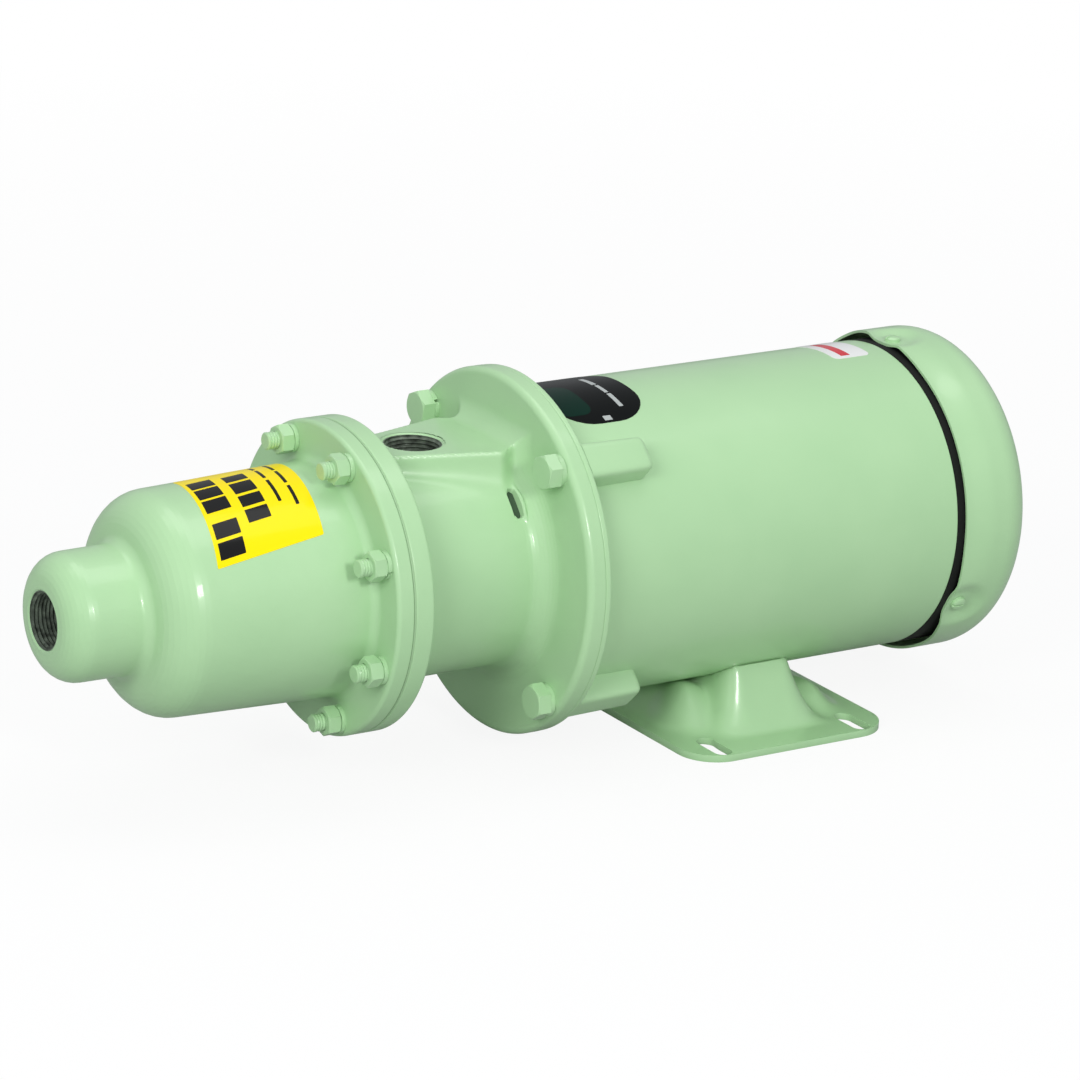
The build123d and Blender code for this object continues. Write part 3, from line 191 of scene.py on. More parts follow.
def bsdf_material(name, colour, roughness, metallic=0.0, coat=0.0):
    """Material with one principled shader; returns it with its node tree and shader."""
    material = bpy.data.materials.new(name)
    material.use_nodes = True
    shader = material.node_tree.nodes["Principled BSDF"]
    for socket, value in (("Base Color", colour), ("Roughness", roughness),
                          ("Metallic", metallic), ("Coat Weight", coat),
                          ("Coat Roughness", COAT_ROUGHNESS)):
        shader.inputs[socket].default_value = value
    return material, material.node_tree, shader


def noise(tree, scale, detail=3.0, stretch=None):
    """Noise read from Object coordinates in metres, stretched along the axes if asked."""
    texture = shader_node(tree, "TexNoise", Scale=scale, Detail=detail)
    source = shader_node(tree, "TexCoord").outputs["Object"]
    if stretch is not None:
        mapping = shader_node(tree, "Mapping", Scale=stretch)
        tree.links.new(source, mapping.inputs["Vector"])
        source = mapping.outputs["Vector"]
    tree.links.new(source, texture.inputs["Vector"])
    return texture.outputs["Fac"]


def between(tree, factor, low, high, start=0.35, end=0.65):
    """Colour ramp from low to high over a stretch of the factor."""
    ramp = shader_node(tree, "ValToRGB")
    for stop, position, colour in zip(ramp.color_ramp.elements, (start, end), (low, high)):
        stop.position = position
        stop.color = colour
    tree.links.new(factor, ramp.inputs["Fac"])
    return ramp.outputs["Color"]


def grey(value):
    return (value, value, value, 1.0)


def bump(tree, shader, height, distance, strength=1.0, under=None):
    """Bump of a real height in metres, laid over another bump if one is given."""
    node = shader_node(tree, "Bump", Strength=strength, Distance=distance)
    tree.links.new(height, node.inputs["Height"])
    if under is not None:
        tree.links.new(under, node.inputs["Normal"])
    tree.links.new(node.outputs["Normal"], shader.inputs["Normal"])
    return node.outputs["Normal"]


def enamel(name, texture_height, roughness):
    """Enamel with slow colour drift, uneven gloss and the unevenness of what is beneath."""
    material, tree, shader = bsdf_material(name, ENAMEL, roughness, coat=0.35)
    tree.links.new(between(tree, noise(tree, DRIFT_SCALE), ENAMEL_DEEP, ENAMEL, 0.15, 0.75),
                   shader.inputs["Base Color"])
    tree.links.new(between(tree, noise(tree, GLOSS_SCALE, 2.0), grey(roughness - 0.04),
                           grey(roughness + 0.05), 0.1, 0.9), shader.inputs["Roughness"])
    peel = bump(tree, shader, noise(tree, PEEL_SCALE, 1.0), PEEL_HEIGHT, 0.35)
    bump(tree, shader, noise(tree, SAND_SCALE), texture_height, 0.6, peel)
    return material


cast_enamel = enamel("enamel_on_casting", 0.00022, 0.36)
sheet_enamel = enamel("enamel_on_sheet", 0.00004, 0.31)

# ---- Stator casing ----
# Sand-cast iron, one piece: discharge nose, rounded shoulder, drafted barrel and the
# joint flange. Machined only in the port and on the joint face.
MM = 0.001
casing_low, casing_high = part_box("stator_casing")
AXIS_Z = 0.5 * (casing_low.z + casing_high.z) / MM
NOSE_X = casing_low.x / MM
CASING_END_X = casing_high.x / MM
PORT_RADIUS = 12.35
PORT_CHAMFER = 1.4
NOSE_FRONT_RADIUS = 28.1
NOSE_REAR_RADIUS = 28.5
NOSE_LENGTH = 36.5
NOSE_ROUND = 13.0
NECK_ROUND = 5.0
SHOULDER_LEAN = 3.0
SHOULDER_ROUND = 18.0
BARREL_FRONT_RADIUS = 49.0
BARREL_REAR_RADIUS = 52.0
BARREL_ROOT = 4.0
CASING_FLANGE = 8.1
FLANGE_RADIUS = 69.85
FLANGE_ROUND = 1.9
JOINT_ROUND = 0.7
CASING_BORE = 44.0
SMOOTH_ANGLE = math.radians(34.0)
MERGED_WITHIN = 1e-6


def rounded_line(corners, radii, steps=9, edge=0.35):
    """Line through the corners where each corner is an arc tangent to both runs.

    Long runs get a point close to each end, so that smooth shading stays flat along them.
    """
    corners = [np.array(corner, float) for corner in corners]
    stretches = []
    for k, radius in enumerate(radii):
        if radius <= 0:
            stretches.append(corners[k][None])
            continue
        before = unit(corners[k - 1] - corners[k])
        after = unit(corners[(k + 1) % len(corners)] - corners[k])
        half = 0.5 * math.acos(float(np.dot(before, after)))
        centre = corners[k] + unit(before + after) * radius / math.sin(half)
        first = corners[k] + before * radius / math.tan(half) - centre
        last = corners[k] + after * radius / math.tan(half) - centre
        sweep = math.pi - 2 * half
        t = np.linspace(0, 1, steps + 1)[:, None]
        stretches.append(centre + (np.sin((1 - t) * sweep) * first + np.sin(t * sweep) * last)
                         / math.sin(sweep))
    line = np.concatenate(stretches)
    run = np.linalg.norm(np.diff(line, axis=0), axis=1)
    long_runs = np.nonzero(run > 4 * edge)[0]
    share = edge / run[long_runs, None]
    step = line[long_runs + 1] - line[long_runs]
    ends = [line[long_runs] + share * step, line[long_runs + 1] - share * step]
    return np.insert(line, np.repeat(long_runs + 1, 2), np.stack(ends, 1).reshape(-1, 2), axis=0)


def piece(name, grids, material=sheet_enamel, body="housing", keep=None,
          smooth=SMOOTH_ANGLE):
    """Mesh from grids of points in millimetres: quads between neighbours, seams merged.

    Faces of the first grid stay only where keep, if given, says so of their middles. Faces
    that a pole has pinched become triangles, and the volume's sign turns them outwards.
    """
    points = []
    faces = []
    count = 0
    for n, grid in enumerate(grids):
        rows, columns = grid.shape[:2]
        index = count + np.arange(rows * columns).reshape(rows, columns)
        quads = np.stack([index[:-1, :-1], index[:-1, 1:], index[1:, 1:], index[1:, :-1]], -1)
        quads = quads.reshape(-1, 4)
        flat = grid.reshape(-1, 3)
        if keep is not None and n == 0:
            quads = quads[keep(flat[quads].mean(1))]
        points.append(flat)
        faces.append(quads)
        count += rows * columns
    points = np.concatenate(points) * MM
    rounded = np.round(points / MERGED_WITHIN).astype(np.int64)
    _, first, inverse = np.unique(rounded, axis=0, return_index=True, return_inverse=True)
    faces = inverse.reshape(-1)[np.concatenate(faces)]
    points = points[first]
    a, b, c, d = (points[faces[:, k]] for k in range(4))
    volume = np.einsum("ij,ij->", a, np.cross(b, c)) + np.einsum("ij,ij->", a, np.cross(c, d))
    if volume < 0:
        faces = faces[:, ::-1]
    apart = np.stack([faces[:, k] != faces[:, (k + 1) % 4] for k in range(4)], 1)
    quads = faces[apart.all(1)]
    three = apart.sum(1) == 3
    triangles = faces[three][apart[three]].reshape(-1, 3)
    mesh = bpy.data.meshes.new(name)
    mesh.from_pydata(points.tolist(), [], quads.tolist() + triangles.tolist())
    mesh.validate()
    mesh.polygons.foreach_set("use_smooth", np.ones(len(mesh.polygons), bool))
    mesh.set_sharp_from_angle(angle=smooth)
    mesh.materials.append(material)
    made = bpy.data.objects.new(name, mesh)
    scene.collection.objects.link(made)
    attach(made, body)
    return made


def full_turn(columns):
    """Angles once round, the last of them 0 again so that the seam closes."""
    turn = np.linspace(0, 2 * math.pi, columns + 1)
    turn[-1] = 0.0
    return turn


def stacked(x, y, z):
    """Grid of points from coordinates that are each given only as far as they vary."""
    return np.stack(np.broadcast_arrays(x, y, z), -1)


def about_shaft(x, radius, turn):
    """Points at a station x, at a radius and an angle about the shaft."""
    return stacked(x, radius * np.cos(turn), AXIS_Z + radius * np.sin(turn))


def lathe(line, columns=288, radius_at=None):
    """Surface of revolution about the shaft: the line's (x, radius) points turned full circle."""
    x, radius = line[:, :1], line[:, 1:]
    turn = full_turn(columns)
    if radius_at is not None:
        radius = radius_at(x, radius, turn)
    return about_shaft(x, radius, turn)


def closed(line):
    return np.concatenate([line, line[:1]])


barrel_x = NOSE_X + NOSE_LENGTH + SHOULDER_LEAN
flange_x = CASING_END_X - CASING_FLANGE
casing_line = rounded_line(
    [(NOSE_X, PORT_RADIUS + PORT_CHAMFER), (NOSE_X, NOSE_FRONT_RADIUS),
     (NOSE_X + NOSE_LENGTH, NOSE_REAR_RADIUS), (barrel_x, BARREL_FRONT_RADIUS),
     (flange_x, BARREL_REAR_RADIUS), (flange_x, FLANGE_RADIUS),
     (CASING_END_X, FLANGE_RADIUS), (CASING_END_X, CASING_BORE),
     (NOSE_X + 100, CASING_BORE), (NOSE_X + 44, 30), (NOSE_X + 24, PORT_RADIUS + 0.5),
     (NOSE_X + 1, PORT_RADIUS + 0.5)],
    [0, NOSE_ROUND, NECK_ROUND, SHOULDER_ROUND, BARREL_ROOT, FLANGE_ROUND, JOINT_ROUND,
     0, 0, 0, 0, 0])
casing = piece("stator_casing_skin", [lathe(closed(casing_line))], cast_enamel)
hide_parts("stator_casing")

# ---- Port threads ----
# Tapped pipe threads in the discharge nose and the suction pad, cut through the paint,
# so they show as oily dark iron. The mouth has a small countersink.
THREAD_PITCH = 1.81
THREAD_DEPTH = 1.0
THREAD_START = 0.5
THREAD_ROOT = PORT_RADIUS + 0.25
SLEEVE_RADIUS = PORT_RADIUS + 0.9
PORT_LAND = 15.4
LAND_DEPTH = 1.0
DISCHARGE_DEPTH = 18.0
SUCTION_DEPTH = 13.6

bare_iron, tree, shader = bsdf_material("oiled_bare_iron", (0.10, 0.105, 0.10, 1), 0.4, 0.4)
tree.links.new(between(tree, noise(tree, 260.0), (0.045, 0.055, 0.042, 1),
                       (0.17, 0.21, 0.16, 1)), shader.inputs["Base Color"])
bump(tree, shader, noise(tree, 700.0), 0.00005)


def spun(radius, level, turn):
    """Points about +Z at a radius, a level and an angle."""
    return stacked(radius * np.cos(turn), radius * np.sin(turn), level)


def helix_wave(height, turn, pitch):
    """Triangle wave between 0 and 1 of height over pitch, less the turn: a thread's flank."""
    return np.abs(2 * np.mod(height / pitch - turn / (2 * math.pi), 1.0) - 1)


def threaded_bore(depth, columns=144, rows_per_pitch=10):
    """Sleeve about +Z with its mouth at z = 0, its inside radius less a helix wave."""
    level = -np.linspace(0.6, depth, int(depth / THREAD_PITCH * rows_per_pitch))[:, None]
    turn = full_turn(columns)
    fade = np.clip((-level - 0.4) / 1.6, 0, 1)
    radius = THREAD_ROOT - THREAD_DEPTH * helix_wave(-level, turn, THREAD_PITCH) * fade
    sleeve = np.full((1, columns + 1), SLEEVE_RADIUS)
    radius = np.concatenate([sleeve, radius, sleeve, sleeve])
    level = np.concatenate([[[-THREAD_START]], level, [[-depth]], [[-THREAD_START]]])
    return spun(radius, level, turn)


def spun_line(line, columns=144):
    """Surface of revolution about +Z: the line's (radius, level) points turned full circle."""
    line = np.array(line, float)
    return spun(line[:, :1], line[:, 1:], full_turn(columns))


def port_land(height):
    """Painted ring round the mouth: flat out to the land radius, with a chamfer inwards."""
    hole = PORT_RADIUS + 0.3
    return spun_line([(hole, -LAND_DEPTH), (hole, -0.8), (PORT_RADIUS + 1.3, height),
                      (PORT_RADIUS + 1.6, height), (PORT_LAND - 0.4, height),
                      (PORT_LAND, height - 0.25), (PORT_LAND, -LAND_DEPTH),
                      (hole, -LAND_DEPTH)])


def facing_nose(grid):
    """Turns a +Z grid so that its mouth faces -X at the end of the nose."""
    return stacked(NOSE_X - grid[..., 2], grid[..., 0], AXIS_Z + grid[..., 1])


piece("discharge_thread", [facing_nose(threaded_bore(DISCHARGE_DEPTH))], bare_iron)
piece("discharge_land", [facing_nose(port_land(0.03))], cast_enamel)

# ---- Pump body ----
# One iron casting: joint flange, round suction chamber with a flared flat pad for the
# suction port, and the motor flange with a generous root fillet. A small window over the
# shaft's set screw has a raised lip.
body_low, body_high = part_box("pump_body")
BODY_X = body_low.x / MM
FACE_X = body_high.x / MM
BODY_FLANGE = 9.8
BODY_RADIUS = 50.0
BODY_ROOT = 3.0
FACE_FLANGE = 8.5
FACE_RADIUS = 82.55
FACE_ROOT = 10.0
FACE_ROUND = 3.0
CHAMBER_RADIUS = 42.0
PILOT_RADIUS = 57.2
PILOT_DEPTH = 4.4
WELL_RADIUS = 40.0
SEAL_RADIUS = 15.6
SUCTION_X = FACE_X - 50.25
PAD_TOP = 56.0
PAD_HALF_FRONT = 12.5
PAD_HALF_REAR = 28.5
PAD_CORNER_X = FACE_X - 22.0
PAD_CORNER_ROUND = 11.0
PAD_CORNER_STEP = 6.0
PAD_RISE_ROUND = 9.3
PAD_EDGE = 3.0
PAD_FILLET = 10.0
WINDOW_X = FACE_X - 19.0
WINDOW_ANGLE = math.radians(136.5)
WINDOW_HALF_LENGTH = 6.6
WINDOW_HALF_WIDTH = 1.5
WINDOW_DEPTH = 6.0
WINDOW_WALL = 0.9
WINDOW_SHADE = 1.6
LIP_HEIGHT = 1.8
LIP_BEHIND = 2.6
LIP_MARGIN = 1.5
HAIR = 0.01

face_flange_x = FACE_X - FACE_FLANGE
body_flange_x = BODY_X + BODY_FLANGE


def smooth_max(a, b, reach):
    """The larger of two fields, with a fillet where they cross: there it is raised by the
    square of how far the fields' difference is inside the reach."""
    near = np.clip(reach - np.abs(a - b), 0, None) / reach
    return np.maximum(a, b) + near * near * reach * 0.25


def smooth_min(a, b, reach):
    return -smooth_max(-a, -b, reach)


def smooth_step(value):
    value = np.clip(value, 0, 1)
    return value * value * (3 - 2 * value)


def pad_half_width(x):
    """Half width of the pad: a straight flare, then a rounded corner towards the flange."""
    flare = PAD_HALF_FRONT + (PAD_HALF_REAR - PAD_HALF_FRONT) * (x - body_flange_x) / (
        PAD_CORNER_X - body_flange_x)
    beyond = smooth_step((x - PAD_CORNER_X) / PAD_CORNER_ROUND)
    return np.minimum(flare, PAD_HALF_REAR) - PAD_CORNER_STEP * beyond


def body_radius(x, radius, turn):
    """Turned body raised to the pad, whose sides and top are planes seen from the shaft.

    The window is a slot's distance field turned into a step inwards, and its lip a smooth
    step of the distance from an oval a little behind it.
    """
    sine = np.maximum(np.sin(turn), 1e-3)
    cosine = np.maximum(np.abs(np.cos(turn)), 1e-3)
    rise = np.clip(x - (face_flange_x - PAD_RISE_ROUND), 0, PAD_RISE_ROUND)
    top = PAD_TOP + PAD_RISE_ROUND - np.sqrt(PAD_RISE_ROUND ** 2 - rise ** 2)
    side = pad_half_width(x) + top - PAD_TOP
    pad = np.where(np.sin(turn) > 0.3, smooth_min(top / sine, side / cosine, PAD_EDGE), 0.0)
    outside = (x > body_flange_x - HAIR) & (radius > CHAMBER_RADIUS + 4)
    shaped = np.where(outside & (x < face_flange_x + HAIR),
                      smooth_max(radius, pad, PAD_FILLET), radius)
    along = x - WINDOW_X
    across = (turn - WINDOW_ANGLE) * BODY_RADIUS
    beyond = np.maximum(np.abs(across) - WINDOW_HALF_LENGTH + WINDOW_HALF_WIDTH, 0.0)
    slot = smooth_step(0.5 - (np.hypot(along, beyond) - WINDOW_HALF_WIDTH) / WINDOW_WALL)
    lip = smooth_step(1.3 - np.hypot((along - LIP_BEHIND) / LIP_MARGIN,
                                     across / (WINDOW_HALF_LENGTH + LIP_MARGIN)))
    return np.where(outside & (x < face_flange_x - LIP_MARGIN),
                    shaped + LIP_HEIGHT * lip - WINDOW_DEPTH * slot, shaped)


def dense(line, longest):
    """Adds points so that no run along the line is longer than asked."""
    run = np.linalg.norm(np.diff(line, axis=0), axis=1)
    parts = np.maximum(1, np.ceil(run / longest)).astype(int)
    start = np.repeat(np.arange(len(run)), parts)
    share = np.concatenate([np.arange(n) / n for n in parts])[:, None]
    inner = line[start] + share * (line[start + 1] - line[start])
    return np.concatenate([inner, line[-1:]])


outer_line = rounded_line(
    [(BODY_X, CHAMBER_RADIUS + 2), (BODY_X, FLANGE_RADIUS), (body_flange_x, FLANGE_RADIUS),
     (body_flange_x, BODY_RADIUS), (face_flange_x, BODY_RADIUS), (face_flange_x, FACE_RADIUS),
     (FACE_X, FACE_RADIUS), (FACE_X, PILOT_RADIUS)],
    [0, JOINT_ROUND, FLANGE_ROUND, BODY_ROOT, FACE_ROOT, FACE_ROUND, 0.4, 0])
inner_line = np.array([(FACE_X - PILOT_DEPTH, PILOT_RADIUS), (FACE_X - PILOT_DEPTH, WELL_RADIUS),
                       (FACE_X - 25, WELL_RADIUS), (FACE_X - 25, SEAL_RADIUS),
                       (FACE_X - 34, SEAL_RADIUS), (FACE_X - 34, CHAMBER_RADIUS),
                       (BODY_X, CHAMBER_RADIUS), (BODY_X, CHAMBER_RADIUS + 2)])
body_line = np.concatenate([dense(outer_line, 0.9), inner_line])


def outside_port(middle):
    """Drops the faces under the suction port's land, which the land ring covers."""
    reach = np.hypot(middle[:, 0] - SUCTION_X, middle[:, 1])
    return (reach > PORT_RADIUS + 1.9) | (middle[:, 2] < AXIS_Z)


body = piece("pump_body_skin", [lathe(body_line, 480, body_radius)], cast_enamel,
             keep=outside_port)
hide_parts("pump_body")

# The patch in the window's pit follows the body's round a little below it. Its dark green is
# painted shade, standing for the shade deep in the pit.
shade_x = WINDOW_X + np.linspace(-1, 1, 7)[:, None] * (WINDOW_HALF_WIDTH + 0.8)
shade_turn = WINDOW_ANGLE + np.linspace(-1, 1, 25) * (WINDOW_HALF_LENGTH + 0.8) / BODY_RADIUS
window_painted_shade, _, _ = bsdf_material("window_painted_shade", (0.045, 0.085, 0.045, 1), 0.9)
piece("window_pit_painted_shade", [about_shaft(shade_x, BODY_RADIUS - WINDOW_SHADE, shade_turn)],
      window_painted_shade)

pad_middle = np.array([SUCTION_X, 0.0, AXIS_Z + PAD_TOP])
piece("suction_thread", [pad_middle + threaded_bore(SUCTION_DEPTH)], bare_iron)
piece("suction_land", [pad_middle + port_land(0.06)], cast_enamel)

# ---- Joint studs, nuts and lock washers ----
# Eight studs stand in the body flange; plain hexagon nuts on split washers draw the casing
# up. Everything is painted over, so that the threads are half filled.
STUD_COUNT = 8
STUD_CIRCLE = 62.0
STUD_RADIUS = 3.95
STUD_PITCH = 1.41
STUD_THREAD = 0.55
STUD_STANDS = 13.8
NUT_FLATS = 11.9
NUT_HEIGHT = 6.2
JOINT_WASHER = 2.0
JOINT_WASHER_RADIUS = 6.3
CHAMFER_SLOPE = math.tan(math.radians(28))
HEX_SMOOTH = math.radians(22)


def hexagon_radius(turn, flats):
    """Distance from the centre to a hexagon's side: half the flats over the cosine of the
    angle from the nearest flat's middle."""
    folded = np.mod(turn + math.pi / 6, math.pi / 3) - math.pi / 6
    return flats / 2 / np.cos(folded)


def hex_solid(flats, height, bore, chamfer_both, columns=72):
    """Hexagon nut or head along +Z from z = 0, with its corners cut by a chamfer cone: the
    cut goes down with the hexagon's distance beyond the cone's radius."""
    turn = full_turn(columns)
    full = hexagon_radius(turn, flats)
    cone = flats / 2 * 0.985
    drop = (full - cone) * CHAMFER_SLOPE + 0.15
    foot, lift = (cone, drop) if chamfer_both else (full, 0)
    rows = [(bore, 0), (foot * 0.97, 0), (foot, 0), (full, lift), (full, lift + 0.25),
            (full, height - drop - 0.25), (full, height - drop), (cone, height),
            (cone * 0.9, height + 0.04), (bore, height + 0.05)]
    if bore > 0:
        rows.append((bore, 0))
    radius, level = (np.stack([row[k] + 0 * turn for row in rows]) for k in (0, 1))
    return spun(radius, level, turn)


def split_washer(outer, inner, thickness, columns=64, gap=0.16):
    """Washer of rectangular section that stops short of a full turn, with a slight twist."""
    turn = np.linspace(gap / 2, 2 * math.pi - gap / 2, columns)
    section = np.array([[inner, 0], [outer, 0], [outer, thickness], [inner, thickness],
                        [inner, 0]])
    ring = spun(section[:, :1], section[:, 1:] + 0.12 * (turn / math.pi - 1), turn)
    return [ring] + [np.stack([ring[:2, k], ring[3:1:-1, k]]) for k in (0, -1)]


def thread_rod(radius, length, pitch, depth, columns=40, rows_per_pitch=6):
    """Threaded bar along +Z, its radius less a helix wave that fades at its end."""
    level = np.linspace(0, length - 0.5, int(length / pitch * rows_per_pitch))[:, None]
    turn = full_turn(columns)
    fade = np.clip((length - 0.6 - level) / pitch, 0, 1)
    around = radius - depth * helix_wave(level, turn, pitch) * fade
    around = np.concatenate([0 * around[:1], around, around[-1:] - 0.6, 0 * around[:1]])
    level = np.concatenate([level[:1], level, [[length]], [[length]]])
    return spun(around, level, turn)


def turned_by(u, v, angle):
    """The two coordinates u and v turned by an angle."""
    return (u * math.cos(angle) - v * math.sin(angle),
            u * math.sin(angle) + v * math.cos(angle))


def on_circle(grid, x, circle, count, first, spin=None):
    """Copies of a +Z grid turned to point along -X from station x, spaced on a circle."""
    copies = []
    for k in range(count):
        angle = math.radians(first + 360.0 * k / count)
        u, v = turned_by(grid[..., 0], grid[..., 1], 0.0 if spin is None else spin[k])
        y, z = turned_by(circle + u, v, angle)
        copies.append(stacked(x - grid[..., 2], y, AXIS_Z + z))
    return copies


def washers_on_circle(outer, inner, thickness, *circle):
    return [copy for part in split_washer(outer, inner, thickness)
            for copy in on_circle(part, *circle)]


on_studs = (STUD_CIRCLE, STUD_COUNT, 180.0 / STUD_COUNT)
nut_turns = np.random.default_rng(7).uniform(0, math.pi / 3, STUD_COUNT)
washers = piece("joint_lock_washers", washers_on_circle(
    JOINT_WASHER_RADIUS, STUD_RADIUS, JOINT_WASHER, flange_x, *on_studs, nut_turns * 3))
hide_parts("flange_washers")
nuts = piece("joint_nuts", on_circle(hex_solid(NUT_FLATS, NUT_HEIGHT, STUD_RADIUS, True),
                                     flange_x - JOINT_WASHER - 0.1, *on_studs, nut_turns),
             smooth=HEX_SMOOTH)
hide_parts("flange_nuts")
stud = thread_rod(STUD_RADIUS, STUD_STANDS + CASING_FLANGE, STUD_PITCH, STUD_THREAD)
studs = piece("joint_studs", on_circle(stud, flange_x + CASING_FLANGE, *on_studs))
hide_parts("flange_studs")

# ---- Motor flange bolts ----
# Four hexagon-head cap screws on split washers hold the body to the motor face. Their
# shanks go through the face flange, and each head stands at a turn of its own.
BOLT_CIRCLE = 74.6
BOLT_COUNT = 4
BOLT_RADIUS = 4.76
BOLT_FLATS = 14.3
BOLT_HEAD = 6.3
BOLT_SHANK = 22.0
BOLT_WASHER = 2.2
BOLT_WASHER_RADIUS = 7.4

on_bolts = (BOLT_CIRCLE, BOLT_COUNT, 180.0 / BOLT_COUNT)
bolt_turns = np.array([0.35, 0.9, 0.15, 0.6])
bolt_washers = piece("motor_lock_washers", washers_on_circle(
    BOLT_WASHER_RADIUS, BOLT_RADIUS, BOLT_WASHER, face_flange_x, *on_bolts, bolt_turns * 5))
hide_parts("motor_bolt_washers")
head = hex_solid(BOLT_FLATS, BOLT_HEAD, 0.0, False)
shank = spun_line([(0, -BOLT_SHANK), (BOLT_RADIUS - 0.5, -BOLT_SHANK),
                   (BOLT_RADIUS, 0.5 - BOLT_SHANK), (BOLT_RADIUS, 0.3), (0, 0.3)], 32)
head_x = face_flange_x - BOLT_WASHER
bolts = piece("motor_cap_screws", on_circle(head, head_x, *on_bolts, bolt_turns)
              + on_circle(shank, head_x, *on_bolts), smooth=HEX_SMOOTH)
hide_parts("motor_bolts")

# ---- Front bell of the motor ----
# Die-cast end bell: the ring that meets the body flange, its pilot, the bearing hub inside,
# and four ears behind the ring that the cap screws thread into.
RING = 3.0
RING_RADIUS = FACE_RADIUS - 0.1
EAR_LENGTH = 33.0
EAR_WIDTH = 17.5
EAR_INNER = 64.0
EAR_OUTER = 82.0
EAR_ROUND = 3.4
EAR_DRAFT = 0.5
EAR_POWER = 0.30
BELL_PILOT = 57.1
SHELL_BORE = 68.6
SHELL_SEAT = 14.0
HUB_RADIUS = 25.0
BEARING_RADIUS = 20.0
SHAFT_HOLE = 9.9
RING_X = FACE_X + RING
bell_line = rounded_line(
    [(FACE_X - 4, 9.0), (FACE_X - 4, BELL_PILOT), (FACE_X, BELL_PILOT), (FACE_X, RING_RADIUS),
     (RING_X, RING_RADIUS), (RING_X, SHELL_BORE), (RING_X + SHELL_SEAT, SHELL_BORE),
     (RING_X + SHELL_SEAT, EAR_INNER), (FACE_X + 6, EAR_INNER), (FACE_X + 6, HUB_RADIUS),
     (FACE_X + 28, HUB_RADIUS), (FACE_X + 28, BEARING_RADIUS), (FACE_X + 16, BEARING_RADIUS),
     (FACE_X + 16, SHAFT_HOLE), (FACE_X, SHAFT_HOLE), (FACE_X, 9.0)],
    [0, 0.6, 0, 0.6, 0.9, 0, 0.8, 0.8, 2.0, 2.0, 0.8, 0.8, 0, 0, 0, 0])


def ear_grid(columns=56):
    """Ear along -Z from the ring: a rounded rectangle carried along, drawn in at its end.

    Its section is the curve whose coordinates are a low power of the cosine and the sine.
    """
    shoulder = EAR_LENGTH - EAR_ROUND
    x = np.concatenate([[0, 0.5], np.linspace(1, shoulder, 6),
                        EAR_LENGTH - EAR_ROUND * (1 - np.sin(np.linspace(0.15, 1, 8)
                                                             * math.pi / 2))])[:, None]
    into = np.clip(x - shoulder, 0, EAR_ROUND) / EAR_ROUND
    inset = EAR_ROUND * 0.8 * (1 - np.sqrt(1 - into ** 2))
    draft = EAR_DRAFT * x / EAR_LENGTH
    outer = EAR_OUTER - inset - draft * 1.2
    turn = full_turn(columns)
    across, radial = (np.sign(wave) * np.abs(wave) ** EAR_POWER
                      for wave in (np.cos(turn), np.sin(turn)))
    middle = (outer + EAR_INNER) / 2
    u = middle + (outer - EAR_INNER) / 2 * radial
    v = (EAR_WIDTH / 2 - inset - draft) * across
    x = np.concatenate([[[0.0]], x, [[EAR_LENGTH]]])
    u = np.concatenate([middle[:1] + 0 * turn, u, middle[-1:] + 0 * turn])
    v = np.concatenate([0 * turn[None], v, 0 * turn[None]])
    return stacked(u, v, -x)


bell = piece("front_bell_skin", [lathe(closed(bell_line))]
             + on_circle(ear_grid(), RING_X, 0.0, 4, 45.0))
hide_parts("motor_front_bell")

# ---- Motor shell ----
# Rolled and welded steel tube, painted, pressed over the stator core between the bells. Its
# edges are hardly broken, so that the paint line against the bells stays fine.
shell_low, shell_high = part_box("motor_shell")
SHELL_X = shell_low.x / MM
SHELL_END_X = shell_high.x / MM
SHELL_RADIUS = 71.1
shell_line = rounded_line(
    [(SHELL_X, SHELL_BORE), (SHELL_X, SHELL_RADIUS), (SHELL_END_X, SHELL_RADIUS),
     (SHELL_END_X, SHELL_BORE)], [0, 0.3, 0.7, 0], 4)
shell = piece("motor_shell_skin", [lathe(closed(shell_line))])
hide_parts("motor_shell")

# ---- Rear rim ----
# The painted rim of the rear bell shows as a narrow band behind the shell's seam; past it
# the bell is coloured near-black under the fan cover, as painted shade.
RIM_SEEN = 2.2
RIM_RADIUS = SHELL_RADIUS - 0.25
rim_line = rounded_line(
    [(SHELL_END_X, SHELL_BORE), (SHELL_END_X, RIM_RADIUS), (SHELL_END_X + RIM_SEEN, RIM_RADIUS),
     (SHELL_END_X + RIM_SEEN, SHELL_BORE)], [0, 0.1, 0.5, 0], 4)
piece("rear_rim_band", [lathe(closed(rim_line))])

# ---- Fan cover ----
# Pressed steel cap over the fan. Three dimples near its edge seat on the rear bell and hold
# the screws; the air goes in through radial slots in its back.
cover_low, cover_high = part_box("fan_cover")
COVER_X = cover_low.x / MM
COVER_END_X = cover_high.x / MM
COVER_RADIUS = 75.1
COVER_WALL = 1.2
COVER_ROUND = 16.0
DIMPLE_X = COVER_X + 6.0
DIMPLE_ANGLES = np.radians([90.0, 210.0, 330.0])
DIMPLE_FLAT = 6.0
DIMPLE_REACH = 15.0
DIMPLE_DEPTH = COVER_RADIUS - SHELL_RADIUS - COVER_WALL
EDGE_SET_BACK = 6.0
EDGE_PULLED_IN = 1.9
EDGE_BLEND = 16.0
GRILLE_SLOT = 5.0
GRILLE_HUB = 15.0
GRILLE_MIDDLE = 36.5
GRILLE_OUTER = 57.0
GRILLE_ROWS = ((GRILLE_HUB, GRILLE_MIDDLE, 20.0, 34.0, 10),
               (GRILLE_MIDDLE, GRILLE_OUTER, 39.0, 54.0, 20))


